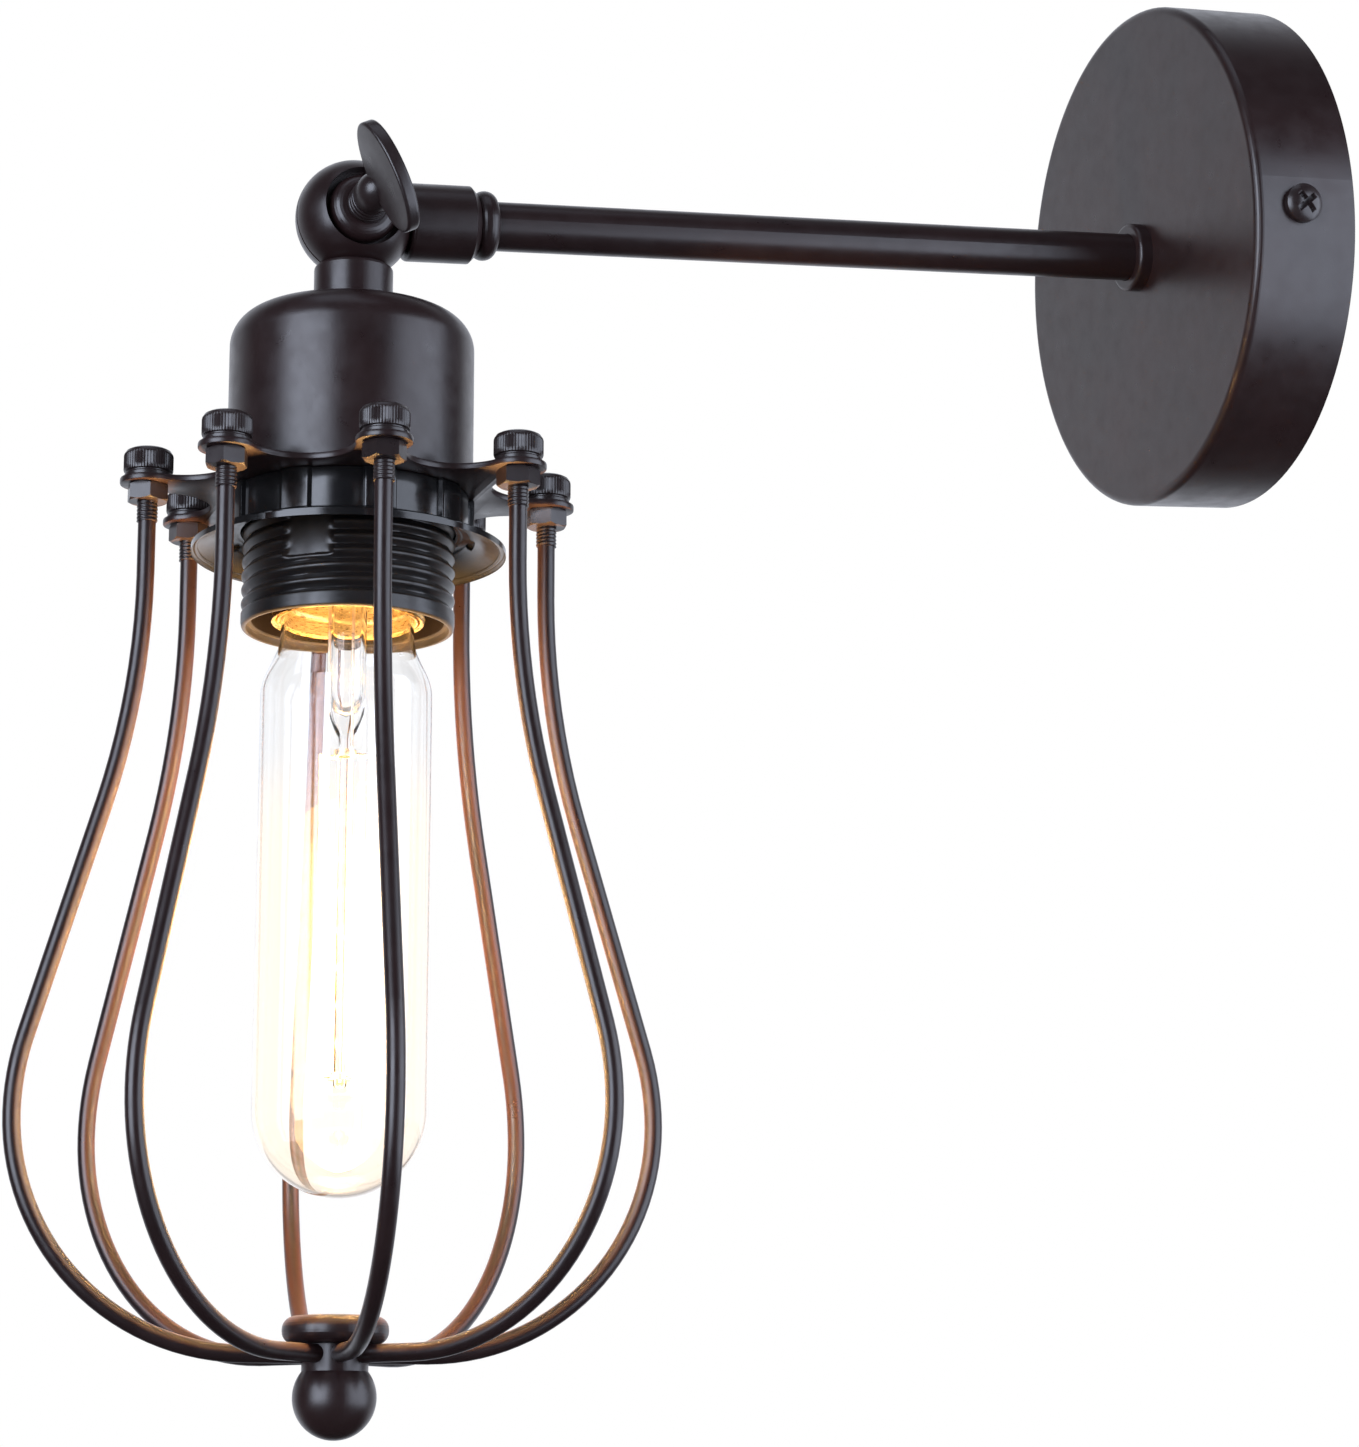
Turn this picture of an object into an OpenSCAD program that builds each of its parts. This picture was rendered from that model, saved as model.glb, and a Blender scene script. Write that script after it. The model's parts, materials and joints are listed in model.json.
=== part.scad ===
// Wall lamp with a straight arm, a tilting knuckle and a pear-shaped wire cage round a bare bulb.
// Millimetres. The origin is the centre of the canopy's back, on the wall.
// The arm runs along -Y and +Z is up.

/* [Canopy] */
// Outer diameter of the round canopy
canopy_d = 102; // [92:1:150]
// How far the canopy stands off the wall
canopy_depth = 21.5; // [19:0.5:34]
// Sheet thickness of the canopy
canopy_wall = 1; // [0.7:0.1:1.6]
// Radius of the canopy's front edge
canopy_edge_r = 1.6; // [0.8:0.1:4]

/* [Wall bracket] */
// Width of the bracket strip
bracket_w = 16; // [14:0.5:24]
// Thickness of the bracket strip
bracket_t = 1.5; // [1:0.1:2.5]
// Circle on which the two wall screws stand
wall_hole_pcd = 69.9; // [50:0.1:72]
// Diameter of the wall screw holes
wall_hole_d = 4.8; // [3.6:0.1:6]
// Diameter of the cable hole in the bracket's middle
cable_hole_d = 10.4; // [8:0.1:12]
// Turn of the bracket and side screws round the arm, against the level knuckle pin
bracket_turn = -6; // [-45:1:45]
// Distance of the green earth screw from the bracket's middle
earth_offset = 18; // [14:0.5:20]
// Distance of the side screws from the wall
side_screw_h = 11.6; // [9:0.1:14]
// Width of the bracket's two ears
ear_w = 12; // [10:0.5:14]
// Inner radius of the bends in the bracket
bend_r = 1; // [0.5:0.1:2]

/* [Screws of the canopy and bracket] */
// Thread diameter of the side and earth screws
m4_d = 4; // [3:0.5:4.5]
// Head diameter of the side screws
side_head_d = 7.6; // [6:0.1:9]
// Head height of the side screws
side_head_h = 2.4; // [1.6:0.1:3]
// Length of the side screws under the head
side_screw_l = 7; // [5:0.5:10]
// Head diameter of the earth screw
earth_head_d = 7; // [6:0.1:8]
// Head height of the earth screw
earth_head_h = 2; // [1.4:0.1:2.6]

/* [Arm] */
// Distance from the wall to the tilt pin
reach = 187.8; // [120:0.5:300]
// Outer diameter of the arm tube
arm_d = 9.5; // [8:0.1:10.5]
// Wall of the arm tube
arm_wall = 1.2; // [0.8:0.1:1.6]
// Diameter of the collar against the canopy
collar_d = 13.8; // [12:0.1:18]
// Thickness of the collar
collar_t = 2.8; // [1.5:0.1:5]
// Diameter of the bead ring at the lamp end of the arm
end_ring_d = 13.4; // [12.4:0.1:16]
// Width of the bead ring
end_ring_w = 4; // [2.5:0.1:6]
// Width over the flats of the lock nuts on the arm and on the nipple
lock_nut_af = 14; // [13:0.5:17]
// Height of the lock nuts
lock_nut_h = 2.6; // [2:0.1:3]
// Diameter of the lock washer
lock_washer_d = 15.5; // [13:0.5:19]
// Thickness of the lock washer
lock_washer_t = 0.8; // [0.5:0.1:1.2]
// How far the threaded arm end stands past its lock nut
arm_tail = 2; // [1:0.1:3]
// Length of the bushing that the leads leave through
bushing_l = 5; // [3:0.5:9]

/* [Knuckle] */
// Diameter of the ball that the two knuckle halves form
ball_d = 22.6; // [21.6:0.1:24]
// How deep the ball sits in the end faces of neck and sleeve
ball_sink = 1.5; // [1:0.1:2]
// Diameter of the sleeve that takes the arm
sleeve_d = 15; // [13.4:0.1:15.6]
// Distance from the tilt pin to the end of the sleeve
sleeve_end = 23.6; // [21:0.1:32]
// Chamfer at the end of the sleeve
sleeve_chamfer = 1.2; // [0.5:0.1:1.6]
// How far the arm tube goes into the sleeve
arm_in_sleeve = 9; // [6:0.5:10]
// Diameter of the neck above the socket cup
neck_d = 15; // [13.4:0.1:15.6]
// Length of the neck between ball and socket cup
neck_l = 6.9; // [6:0.1:14]
// Rounding of the neck's top edge
neck_edge = 0.7; // [0.3:0.1:1]
// Gap between the two flat knuckle faces
parting_gap = 0.5; // [0.4:0.05:0.8]
// Diameter of the recess for the cup washer
recess_d = 15.4; // [14.4:0.1:16.4]
// Thickness of the web under the recess
web_t = 1; // [0.8:0.1:1.4]
// Depth of the lead pocket in each half
pocket_h = 4.2; // [3:0.1:4.6]
// Outer diameter of the lead pocket
pocket_d = 14.2; // [13:0.1:14.6]
// Diameter of the boss round the screw inside the lead pocket
pocket_boss_d = 7.8; // [7.2:0.1:8.6]
// Bore for the leads through neck and sleeve
lead_bore = 6.4; // [5:0.1:7]
// Inner diameter of the friction ring between the halves
friction_id = 16.2; // [15.8:0.1:17]
// Outer diameter of the friction ring
friction_od = 20.2; // [18.8:0.1:20.3]
// Depth of the friction ring's groove
friction_groove = 0.4; // [0.3:0.05:0.6]

/* [Thumb screw] */
// Diameter of the thumb screw's shank
shank_d = 5; // [4:0.1:6]
// How far the shank reaches past the knuckle's middle
shank_in = 8; // [6:0.1:8.6]
// Diameter of the domed cup washer
cup_washer_d = 13.2; // [11:0.1:14]
// Height of the domed cup washer
cup_washer_h = 3.6; // [2.5:0.1:4.5]
// Length of the oval wing
wing_l = 22; // [14:0.1:26]
// Width of the wing along the screw
wing_w = 13.8; // [9:0.1:18]
// Thickness of the wing
wing_t = 2.6; // [1.6:0.1:3.4]
// Length of the screw's boss, from the cup washer into the wing
boss_l = 9.8; // [7:0.1:12]
// Diameter of the screw's boss
boss_d = 7.6; // [6.8:0.1:9.5]
// Diameter of the two round lugs by which the boss meets the wing
lug_d = 5.2; // [4:0.1:6]
// Distance between the middles of the two lugs
lug_span = 6.8; // [5:0.1:8]
// Turn of the wing, from upright towards the room
wing_turn = 22; // [0:1:180]

/* [Head] */
// Lean of the hanging head at rest, its lower end away from the wall
head_lean = 3.9; // [0:0.1:10]

/* [Socket cup] */
// Gap between the holder's ring thread and the inside of the socket cup
cup_gap = 2.2; // [1:0.1:4]
// Height of the socket cup
cup_h = 37.4; // [34:0.1:46]
// Sheet thickness of the socket cup
cup_wall = 1; // [0.7:0.1:1.3]
// Radius of the cup's shoulder
cup_shoulder_r = 9.5; // [6:0.1:11]

/* [Lamp holder] */
// Outer diameter of the holder's shade-ring thread
thread_d = 39.8; // [38.6:0.1:40.4]
// How far the threaded skirt stands below the cage plate
skirt_drop = 25.5; // [24:0.1:34]
// Wall of the threaded skirt
skirt_wall = 2; // [1.5:0.1:2.2]
// Height of the holder's cap
holder_cap_h = 17; // [14:0.1:18]
// How far the holder's cap stands back from the ring thread
cap_step = 0.9; // [0.7:0.1:1.9]
// Wall of the holder's cap
holder_cap_wall = 2; // [1.6:0.1:2.6]
// Height of the spigot by which the cap enters the skirt
spigot_h = 3; // [2:0.1:4]
// Height of the ceramic insert
insert_h = 9; // [7:0.1:10]
// Gap between the ceramic insert and the skirt
insert_gap = 0.9; // [0.8:0.1:1.9]
// Depth of the ceramic insert's face above the mouth of the skirt
insert_depth = 25.4; // [23:0.1:27]
// Thickness of the ledge that carries the insert
ledge_t = 2; // [1.4:0.1:2.6]
// Wall of the brass screw shell
shell_wall = 0.7; // [0.5:0.1:0.9]
// How far the screw shell stops short of the mouth
shell_inset = 1.2; // [0.6:0.1:3]
// Length of the sprung tongue under the ceramic insert
tongue_l = 10; // [8:0.1:11]
// Width of the tongue
tongue_w = 5; // [3.5:0.1:6]
// Sheet thickness of the tongue
tongue_t = 0.5; // [0.4:0.1:0.6]
// How far the tongue reaches down from the insert
tongue_drop = 1.6; // [1.4:0.1:2.2]

/* [Shade ring] */
// Width of the flange beyond the grip band
flange_w = 6.9; // [4.5:0.1:8.5]
// Height of the flange's outer rim
flange_rim_h = 2.7; // [1.8:0.1:4]
// Wall of the flange
flange_wall = 1.4; // [1:0.1:1.8]
// Height of the grip band above the flange
grip_h = 5.4; // [5:0.1:10]
// Wall of the grip band between its pads
grip_wall = 2.5; // [1.8:0.1:3]
// How far the pads stand out of the grip band
pad_h = 0.9; // [0.5:0.1:1.4]
// Number of pads on the grip band
pad_count = 9; // [6:1:14]
// Width of one pad
pad_w = 6.6; // [4:0.1:7.4]
// Height of the slope from the grip band out to the flange
flange_slope_h = 2.4; // [1.5:0.1:4]

/* [Cage] */
// Number of cage wires
wire_count = 8; // [5:1:8]
// Diameter of the cage wire
wire_d = 3.3; // [2.5:0.1:3.6]
// Radius of the circle on which the wires hang
bolt_r = 37.8; // [36:0.1:41]
// Largest radius of the cage, to the wires' middle
belly_r = 58.7; // [55:0.1:66]
// Drop from the cage plate to the hub, to the wires' middle
cage_drop = 158.8; // [154:0.1:180]
// Slope of the wires on their way out, in degrees from upright
wire_slope = 16.5; // [15:0.5:22]
// Bend radius where a wire turns outwards
shoulder_bend_r = 155; // [60:1:160]
// Bend radius at the belly
belly_bend_r = 49; // [20:1:54]
// Bend radius where a wire turns in to the hub
foot_bend_r = 42; // [36:0.1:46]
// How much thinner the wire is where it is bent
bend_thinning = 0.03; // [0.02:0.01:0.08]
// Turn of the first wire round the lamp, in degrees
wire_turn = -5; // [-22:1:22]
// Thickness of the cage plate
plate_t = 1.2; // [0.8:0.1:2]
// Radius of the plate's lobes round the wires
lobe_r = 4.9; // [4.6:0.1:5.6]
// Smallest radius of the plate, in the middle of each scallop
waist_r = 27.3; // [25:0.1:29]
// Diameter of the threaded wire ends
wire_thread_d = 3.6; // [2.8:0.1:3.9]
// Length of thread that shows under each hexagon nut
thread_below = 3.8; // [1:0.1:5]
// Width over the flats of the hexagon nuts
hex_af = 7; // [6.5:0.1:8]
// Height of the hexagon nuts
hex_h = 3.2; // [2.4:0.1:4]
// Diameter of the cap nuts
cap_nut_d = 9.2; // [8:0.1:9.4]
// Height of the cap nuts
cap_nut_h = 6; // [5:0.1:8]

/* [Hub and finial] */
// Diameter of the hub's drum
drum_d = 19.2; // [15:0.1:24]
// Height of the hub's drum
drum_h = 5; // [4.9:0.1:9]
// Rounding of the drum's edges
drum_edge = 2.4; // [1:0.1:2.5]
// Diameter of the hub's neck, where the wires are welded on
hub_neck_d = 12; // [10.5:0.1:14]
// Length of the neck that shows between the wires and the finial
hub_neck_l = 1.4; // [0.4:0.1:4]
// Diameter of the ball finial
finial_d = 15.1; // [14.2:0.1:20]
// Diameter of the finial's stud
stud_d = 4; // [3:0.1:5]
// Length of the finial's stud
stud_l = 6; // [4:0.1:7]

/* [Bulb] */
// Diameter of the tubular glass
glass_d = 31.8; // [29:0.1:34]
// Drop of the bulb's round end below the holder's mouth
bulb_below = 105.5; // [70:0.1:110]
// Wall of the glass
glass_wall = 0.8; // [0.6:0.1:1.2]
// Diameter of the bulb's screw cap
cap_d = 26.2; // [25.8:0.1:26.3]
// Height of the insulated end above the screw cap's thread
cap_end_h = 3; // [2.6:0.1:4]
// Thickness of the screw cap's sheet
cap_wall = 0.4; // [0.3:0.1:0.5]
// Length of the straight glass neck below the cap
glass_neck_l = 3; // [1:0.1:5]
// Length of the glass neck inside the screw cap
glass_in_cap = 8; // [4:0.1:10]
// Length over which the glass widens below its neck
glass_shoulder_h = 11; // [6:0.1:13]
// Diameter of the bulb's centre contact
tip_d = 9; // [7:0.1:11]
// Diameter of the screw cap's flat end
cap_end_d = 17; // [15:0.1:19]
// Length of the glass stem below the screw cap
stem_l = 22; // [16:0.5:26]
// Diameter of the stem's glass tube
stem_d = 7.2; // [6:0.1:8]
// Wall of the stem's glass tube
stem_wall = 1; // [0.6:0.1:1.4]
// Diameter of the stem's glass rod
stem_rod_d = 2.4; // [1.6:0.1:3.2]
// Radius of the circle on which the filament strands stand
filament_r = 4.8; // [4.4:0.1:6]
// Distance of the filament's lower end from the round end of the glass
filament_end = 22; // [19:0.5:26]
// Number of filament strands
filament_count = 6; // [4:2:8]
// Thickness of the filament
filament_d = 0.5; // [0.4:0.1:0.8]
// Thickness of the filament's support wires
support_d = 0.8; // [0.6:0.1:1.2]

/* [Clearances] */
// Radial clearance of a pin or thread that turns in its hole
turn_clearance = 0.05; // [0.02:0.01:0.1]
// Radial clearance of parts that are pushed or screwed together
fit_clearance = 0.1; // [0.05:0.01:0.2]
// Radial clearance of the bulb's screw cap in the brass screw shell
bulb_clearance = 0.08; // [0.05:0.01:0.1]
// Room for cement between the bulb's cap and its glass
cement_gap = 0.25; // [0.2:0.05:0.4]
// Gap between faces that slide past each other
slide_gap = 0.3; // [0.2:0.05:0.5]
// Gap under a head or tip that bears on a moving face
bearing_gap = 0.15; // [0.1:0.05:0.25]

/* [Hidden] */
$fn = 72;
arc_steps = 7;

bronze = [0.13, 0.115, 0.11];
bronze_light = [0.17, 0.15, 0.145];
bakelite = [0.07, 0.07, 0.075];
zinc = [0.68, 0.69, 0.7];
brass = [0.8, 0.6, 0.3];

// Canopy and bracket, measured out from the wall
canopy_r = canopy_d / 2;
canopy_inner_r = canopy_r - canopy_wall;
ear_x = canopy_inner_r - slide_gap;
ear_top = side_screw_h + ear_w / 2;
bracket_hole_d = m4_d + 2 * turn_clearance;

// Arm, measured out from the wall
arm_bore = arm_d + 2 * fit_clearance;
nut_seat = canopy_depth - canopy_wall - lock_washer_t;
arm_start = nut_seat - lock_nut_h - arm_tail;
ring_start = reach - sleeve_end - end_ring_w;
arm_stop = reach - sleeve_end + arm_in_sleeve;
arm_id = arm_d - 2 * arm_wall;

// Knuckle, measured from the tilt pin
ball_r = ball_d / 2;
rim = ball_r - ball_sink;
ball_clear_r = ball_r + slide_gap;
half_face = parting_gap / 2;
recess_floor = half_face + pocket_h + web_t;
washer_top = recess_floor + cup_washer_h;
boss_start = washer_top + bearing_gap;
wing_centre = boss_start + boss_l - 1 + wing_w / 2;

// Head, measured down from the tilt pin
cup_top = rim + neck_l;
cup_floor = cup_top + cup_h;
plate_low = cup_floor + plate_t;
mouth = plate_low + skirt_drop;
nipple_bore_l = 5;
nipple_nut_top = cup_top + cup_wall;
holder_top = nipple_nut_top + lock_nut_h + 0.3;
cap_low = holder_top + holder_cap_h;
nipple_low = holder_top + 5;
cup_d = thread_d + 2 * (cup_gap + cup_wall);
holder_cap_d = thread_d - 2 * cap_step;
skirt_id = thread_d - 2 * skirt_wall;
insert_d = skirt_id - 2 * insert_gap;
shell_id = cap_d + 2 * bulb_clearance;
shell_d = shell_id + 2 * shell_wall;
shell_low = mouth - shell_inset;
insert_low = mouth - insert_depth;
insert_top = insert_low - insert_h;
ring_thread_d = thread_d + 2 * fit_clearance;
grip_d = ring_thread_d + 2 * grip_wall;
flange_d = grip_d + 2 * flange_w;
ring_low = plate_low + grip_h + flange_slope_h + flange_rim_h;

// Cage, measured down from the tilt pin
hub_level = plate_low + cage_drop;
wire_r = wire_d / 2;
bend_lap = 0.3;
slope_run = belly_r - bolt_r - (shoulder_bend_r + belly_bend_r) * (1 - cos(wire_slope));
slope_l = slope_run / sin(wire_slope);
belly_level = hub_level - foot_bend_r;
slope_end = belly_level - belly_bend_r * sin(wire_slope);
slope_start = slope_end - slope_l * cos(wire_slope);
bend_start = slope_start - shoulder_bend_r * sin(wire_slope);
thread_end = plate_low + hex_h + thread_below;
wire_top = cup_floor - cap_nut_h + 2.2;
hub_neck_r = hub_neck_d / 2;
drum_low = hub_level - wire_r - fit_clearance;
drum_top = drum_low - drum_h;
hub_low = hub_level + wire_r + hub_neck_l;
finial_r = finial_d / 2;
finial_level = hub_low + sqrt(pow(finial_r, 2) - pow(hub_neck_r, 2));

// Bulb, measured down from the tilt pin
glass_r = glass_d / 2;
bulb_low = mouth + bulb_below;
dome_level = bulb_low - glass_r;
cap_r = cap_d / 2;
cap_rim = shell_low - 0.3;
tip_level = insert_low + tongue_drop + slide_gap;
cap_h = cap_rim - tip_level - cap_end_h;
glass_neck_r = cap_r - cap_wall - cement_gap;
glass_top = cap_rim - glass_in_cap;
stem_tube_r = stem_d / 2;
stem_rod_r = stem_rod_d / 2;
stem_low = cap_rim + stem_l;
filament_top = stem_low + 3;
filament_low = bulb_low - filament_end;

// Points of an arc round [x, y], from angle a to angle b, without its first and last ones if skip is 1
function arc(x, y, r, a, b, n = arc_steps, skip = 0) =
  [for (i = [skip:n - skip]) [x + r * cos(a + (b - a) * i / n), y + r * sin(a + (b - a) * i / n)]];

// Stands a piece on the wall, with the piece's +Z pointing out along the arm
module from_wall() {
  rotate([90, 0, 0]) children();
}

// Moves a piece drawn round the tilt pin to where the pin is
module at_pin() {
  translate([0, -reach, 0]) children();
}

// Moves a piece drawn hanging from the tilt pin to the leaning head
module on_head() {
  at_pin() rotate([-head_lean, 0, 0]) children();
}

// Turns a piece so that its +Z points along the tilt pin, towards +X
module along_pin() {
  rotate([0, 90, 0]) children();
}

// Repeats a piece for each cage wire
module each_wire() {
  for (i = [0:wire_count - 1]) rotate([0, 0, wire_turn + i * 360 / wire_count]) children();
}

// Ring from height a to height b
module ring(outer_d, inner_d, a, b) {
  translate([0, 0, a]) difference() {
    cylinder(d = outer_d, h = b - a);
    translate([0, 0, -1]) cylinder(d = inner_d, h = b - a + 2);
  }
}

// Low domed screw head with its flat face at z = 0
module pan_head(d, h) {
  rise = h * 0.45;
  dome_r = (pow(d / 2, 2) + pow(rise, 2)) / (2 * rise);
  edge = asin(d / 2 / dome_r);
  rotate_extrude() polygon(concat(
    [[0, 0], [d / 2, 0]],
    arc(0, h - dome_r, dome_r, 90 - edge, 90)
  ));
}

module canopy() {
  inner_edge = max(canopy_edge_r - canopy_wall, 0.2);
  inner_h = canopy_depth - canopy_wall;
  color(bronze) from_wall() difference() {
    rotate_extrude($fn = 144) polygon(concat(
      [[canopy_inner_r, 0], [canopy_r, 0]],
      arc(canopy_r - canopy_edge_r, canopy_depth - canopy_edge_r, canopy_edge_r, 0, 90),
      [[0, canopy_depth], [0, inner_h]],
      arc(canopy_inner_r - inner_edge, inner_h - inner_edge, inner_edge, 90, 0)
    ));
    translate([0, 0, inner_h - 1]) cylinder(d = arm_bore, h = canopy_wall + 2);
    for (side = [0, 180]) rotate([0, 0, bracket_turn + side]) translate([canopy_inner_r - 3, 0, side_screw_h])
      along_pin() cylinder(d = m4_d + 0.6, h = canopy_wall + 6);
  }
}

// Strip with both ends bent forward into ears, before its holes
module bracket_blank() {
  outer_bend = bend_r + bracket_t;
  intersection() {
    rotate([90, 0, 0]) linear_extrude(bracket_w, center = true) polygon(concat(
      arc(ear_x - outer_bend, outer_bend, outer_bend, -90, 0),
      [[ear_x, ear_top], [ear_x - bracket_t, ear_top]],
      arc(ear_x - outer_bend, outer_bend, bend_r, 0, -90),
      arc(outer_bend - ear_x, outer_bend, bend_r, -90, -180),
      [[bracket_t - ear_x, ear_top], [-ear_x, ear_top]],
      arc(outer_bend - ear_x, outer_bend, outer_bend, 180, 270)
    ));
    along_pin() linear_extrude(2 * canopy_r, center = true) union() {
      translate([-outer_bend, -bracket_w / 2]) square([outer_bend, bracket_w]);
      translate([-side_screw_h, -ear_w / 2]) square([side_screw_h, ear_w]);
      translate([-side_screw_h, 0]) circle(d = ear_w);
    }
  }
}

module wall_bracket() {
  color(zinc) from_wall() rotate([0, 0, bracket_turn]) difference() {
    bracket_blank();
    translate([0, 0, -1]) cylinder(d = cable_hole_d, h = bracket_t + 2);
    for (side = [-1, 1]) translate([side * wall_hole_pcd / 2, 0, -1])
      cylinder(d = wall_hole_d, h = bracket_t + 2);
    translate([earth_offset, 0, -1]) cylinder(d = bracket_hole_d, h = bracket_t + 2);
    for (side = [0, 180]) rotate([0, 0, side]) translate([ear_x - bracket_t - 1, 0, side_screw_h])
      along_pin() cylinder(d = bracket_hole_d, h = bracket_t + 2);
  }
}

module canopy_screws() {
  color(bronze_light) from_wall() for (side = [0, 180]) rotate([0, 0, bracket_turn + side])
    translate([canopy_r + 0.02, 0, side_screw_h]) along_pin() {
      pan_head(side_head_d, side_head_h);
      translate([0, 0, -side_screw_l]) cylinder(d = m4_d, h = side_screw_l + 1);
    }
}

module earth_screw() {
  color([0.15, 0.5, 0.25]) from_wall() rotate([0, 0, bracket_turn]) translate([earth_offset, 0, bracket_t]) {
    pan_head(earth_head_d, earth_head_h);
    translate([0, 0, -bracket_t]) cylinder(d = m4_d, h = bracket_t + 1);
  }
}

module arm_collar() {
  edge = min(0.8, collar_t / 3);
  color(bronze) from_wall() translate([0, 0, canopy_depth]) rotate_extrude() polygon(concat(
    [[arm_bore / 2, 0], [collar_d / 2, 0]],
    arc(collar_d / 2 - edge, collar_t - edge, edge, 0, 90),
    [[arm_bore / 2, collar_t]]
  ));
}

module arm_lock_washer() {
  color(zinc) from_wall() ring(lock_washer_d, arm_bore, nut_seat, nut_seat + lock_washer_t);
}

// Hexagon lock nut from z = 0 up
module lock_nut() {
  difference() {
    cylinder(d = lock_nut_af / cos(30), h = lock_nut_h, $fn = 6);
    translate([0, 0, -1]) cylinder(d = arm_bore, h = lock_nut_h + 2);
  }
}

module arm_lock_nut() {
  color(brass) from_wall() translate([0, 0, nut_seat - lock_nut_h]) lock_nut();
}

module arm_tube() {
  color(bronze) from_wall() ring(arm_d, arm_id, arm_start, arm_stop);
}

module lead_bushing() {
  flange_t = 1;
  bore = arm_id - 2;
  color("white") from_wall() difference() {
    union() {
      translate([0, 0, arm_start - flange_t]) cylinder(d = arm_d, h = flange_t);
      translate([0, 0, arm_start - flange_t]) cylinder(d = arm_id - 2 * fit_clearance, h = bushing_l + flange_t);
    }
    translate([0, 0, arm_start - flange_t - 1]) cylinder(d = bore, h = bushing_l + flange_t + 2);
  }
}

module arm_end_ring() {
  foot_r = arm_bore / 2 + 0.3;
  bead_h = end_ring_d / 2 - foot_r;
  half_w = end_ring_w / 2;
  color(bronze) from_wall() translate([0, 0, ring_start]) rotate_extrude() polygon(concat(
    [[arm_bore / 2, 0]],
    [for (a = [-90:15:90]) [foot_r + bead_h * cos(a), half_w + half_w * sin(a)]],
    [[arm_bore / 2, end_ring_w]]
  ));
}

// Half section of one half of the ball, with its lead pocket, round the tilt pin
module half_section() {
  difference() {
    intersection() {
      circle(r = ball_r, $fn = 96);
      translate([0, half_face]) square(ball_d);
    }
    translate([pocket_boss_d / 2, 0]) square([(pocket_d - pocket_boss_d) / 2, half_face + pocket_h]);
  }
}

// Room that the other half of the ball turns in, cut from a neck or sleeve on this half
module other_ball_room() {
  along_pin() rotate_extrude() intersection() {
    circle(r = ball_r + slide_gap, $fn = 96);
    translate([0, half_face - 2 * ball_d]) square(2 * ball_d);
  }
}

module knuckle_head_half() {
  color(bronze) on_head() difference() {
    union() {
      along_pin() rotate_extrude() difference() {
        half_section();
        translate([0, recess_floor]) square([recess_d / 2, ball_d]);
        square([shank_d / 2 + turn_clearance, ball_d]);
      }
      difference() {
        translate([0, 0, -cup_top]) rotate_extrude() polygon(concat(
          [[0, 0], [neck_d / 2, 0]],
          arc(neck_d / 2 - neck_edge, neck_l - neck_edge, neck_edge, 0, 90, 4),
          [[0, neck_l]]
        ));
        other_ball_room();
      }
    }
    translate([0, 0, -cup_top - 1]) cylinder(d = lead_bore, h = cup_top + 1 - pocket_boss_d / 2 - 0.5);
    translate([0, 0, -cup_top - 1]) cylinder(d = arm_bore, h = nipple_bore_l + 1);
  }
}

module knuckle_arm_half() {
  groove_r = friction_id / 2 - fit_clearance;
  groove_w = (friction_od - friction_id) / 2 + 2 * fit_clearance;
  color(bronze) at_pin() rotate([0, 0, 180]) difference() {
    union() {
      along_pin() rotate_extrude() difference() {
        half_section();
        translate([groove_r, 0]) square([groove_w, half_face + friction_groove]);
        square([shank_d / 2 + turn_clearance, shank_in + 0.5]);
      }
      difference() {
        rotate([90, 0, 0]) rotate_extrude() polygon(concat(
          [[0, rim]],
          arc(sleeve_d / 2 - neck_edge, rim + neck_edge, neck_edge, -90, 0, 4),
          [[sleeve_d / 2, sleeve_end - sleeve_chamfer], [sleeve_d / 2 - sleeve_chamfer, sleeve_end], [0, sleeve_end]]
        ));
        other_ball_room();
      }
    }
    rotate([90, 0, 0]) translate([0, 0, pocket_boss_d / 2 + 0.5]) cylinder(d = lead_bore, h = sleeve_end);
    rotate([90, 0, 0]) translate([0, 0, sleeve_end - arm_in_sleeve]) cylinder(d = arm_bore, h = arm_in_sleeve + 1);
  }
}

module friction_ring() {
  color([0.75, 0.72, 0.65]) at_pin() along_pin()
    ring(friction_od, friction_id, -half_face - friction_groove, half_face - bearing_gap);
}

module cup_washer() {
  top_r = boss_d / 2 + 0.3;
  foot_h = 0.8;
  rise = cup_washer_h - foot_h;
  run = cup_washer_d / 2 - top_r;
  color(bronze) on_head() translate([recess_floor, 0, 0]) along_pin() rotate_extrude() polygon(concat(
    [[shank_d / 2 + fit_clearance, 0], [cup_washer_d / 2, 0]],
    [for (i = [0:arc_steps]) [top_r + run * cos(90 * i / arc_steps), foot_h + rise * sin(90 * i / arc_steps)]],
    [[shank_d / 2 + fit_clearance, cup_washer_h]]
  ));
}

// Outline of the wing, an oval across the screw
module wing_outline() {
  polygon([for (a = [0:7.5:352.5]) [wing_w / 2 * cos(a), wing_l / 2 * sin(a)]]);
}

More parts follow.
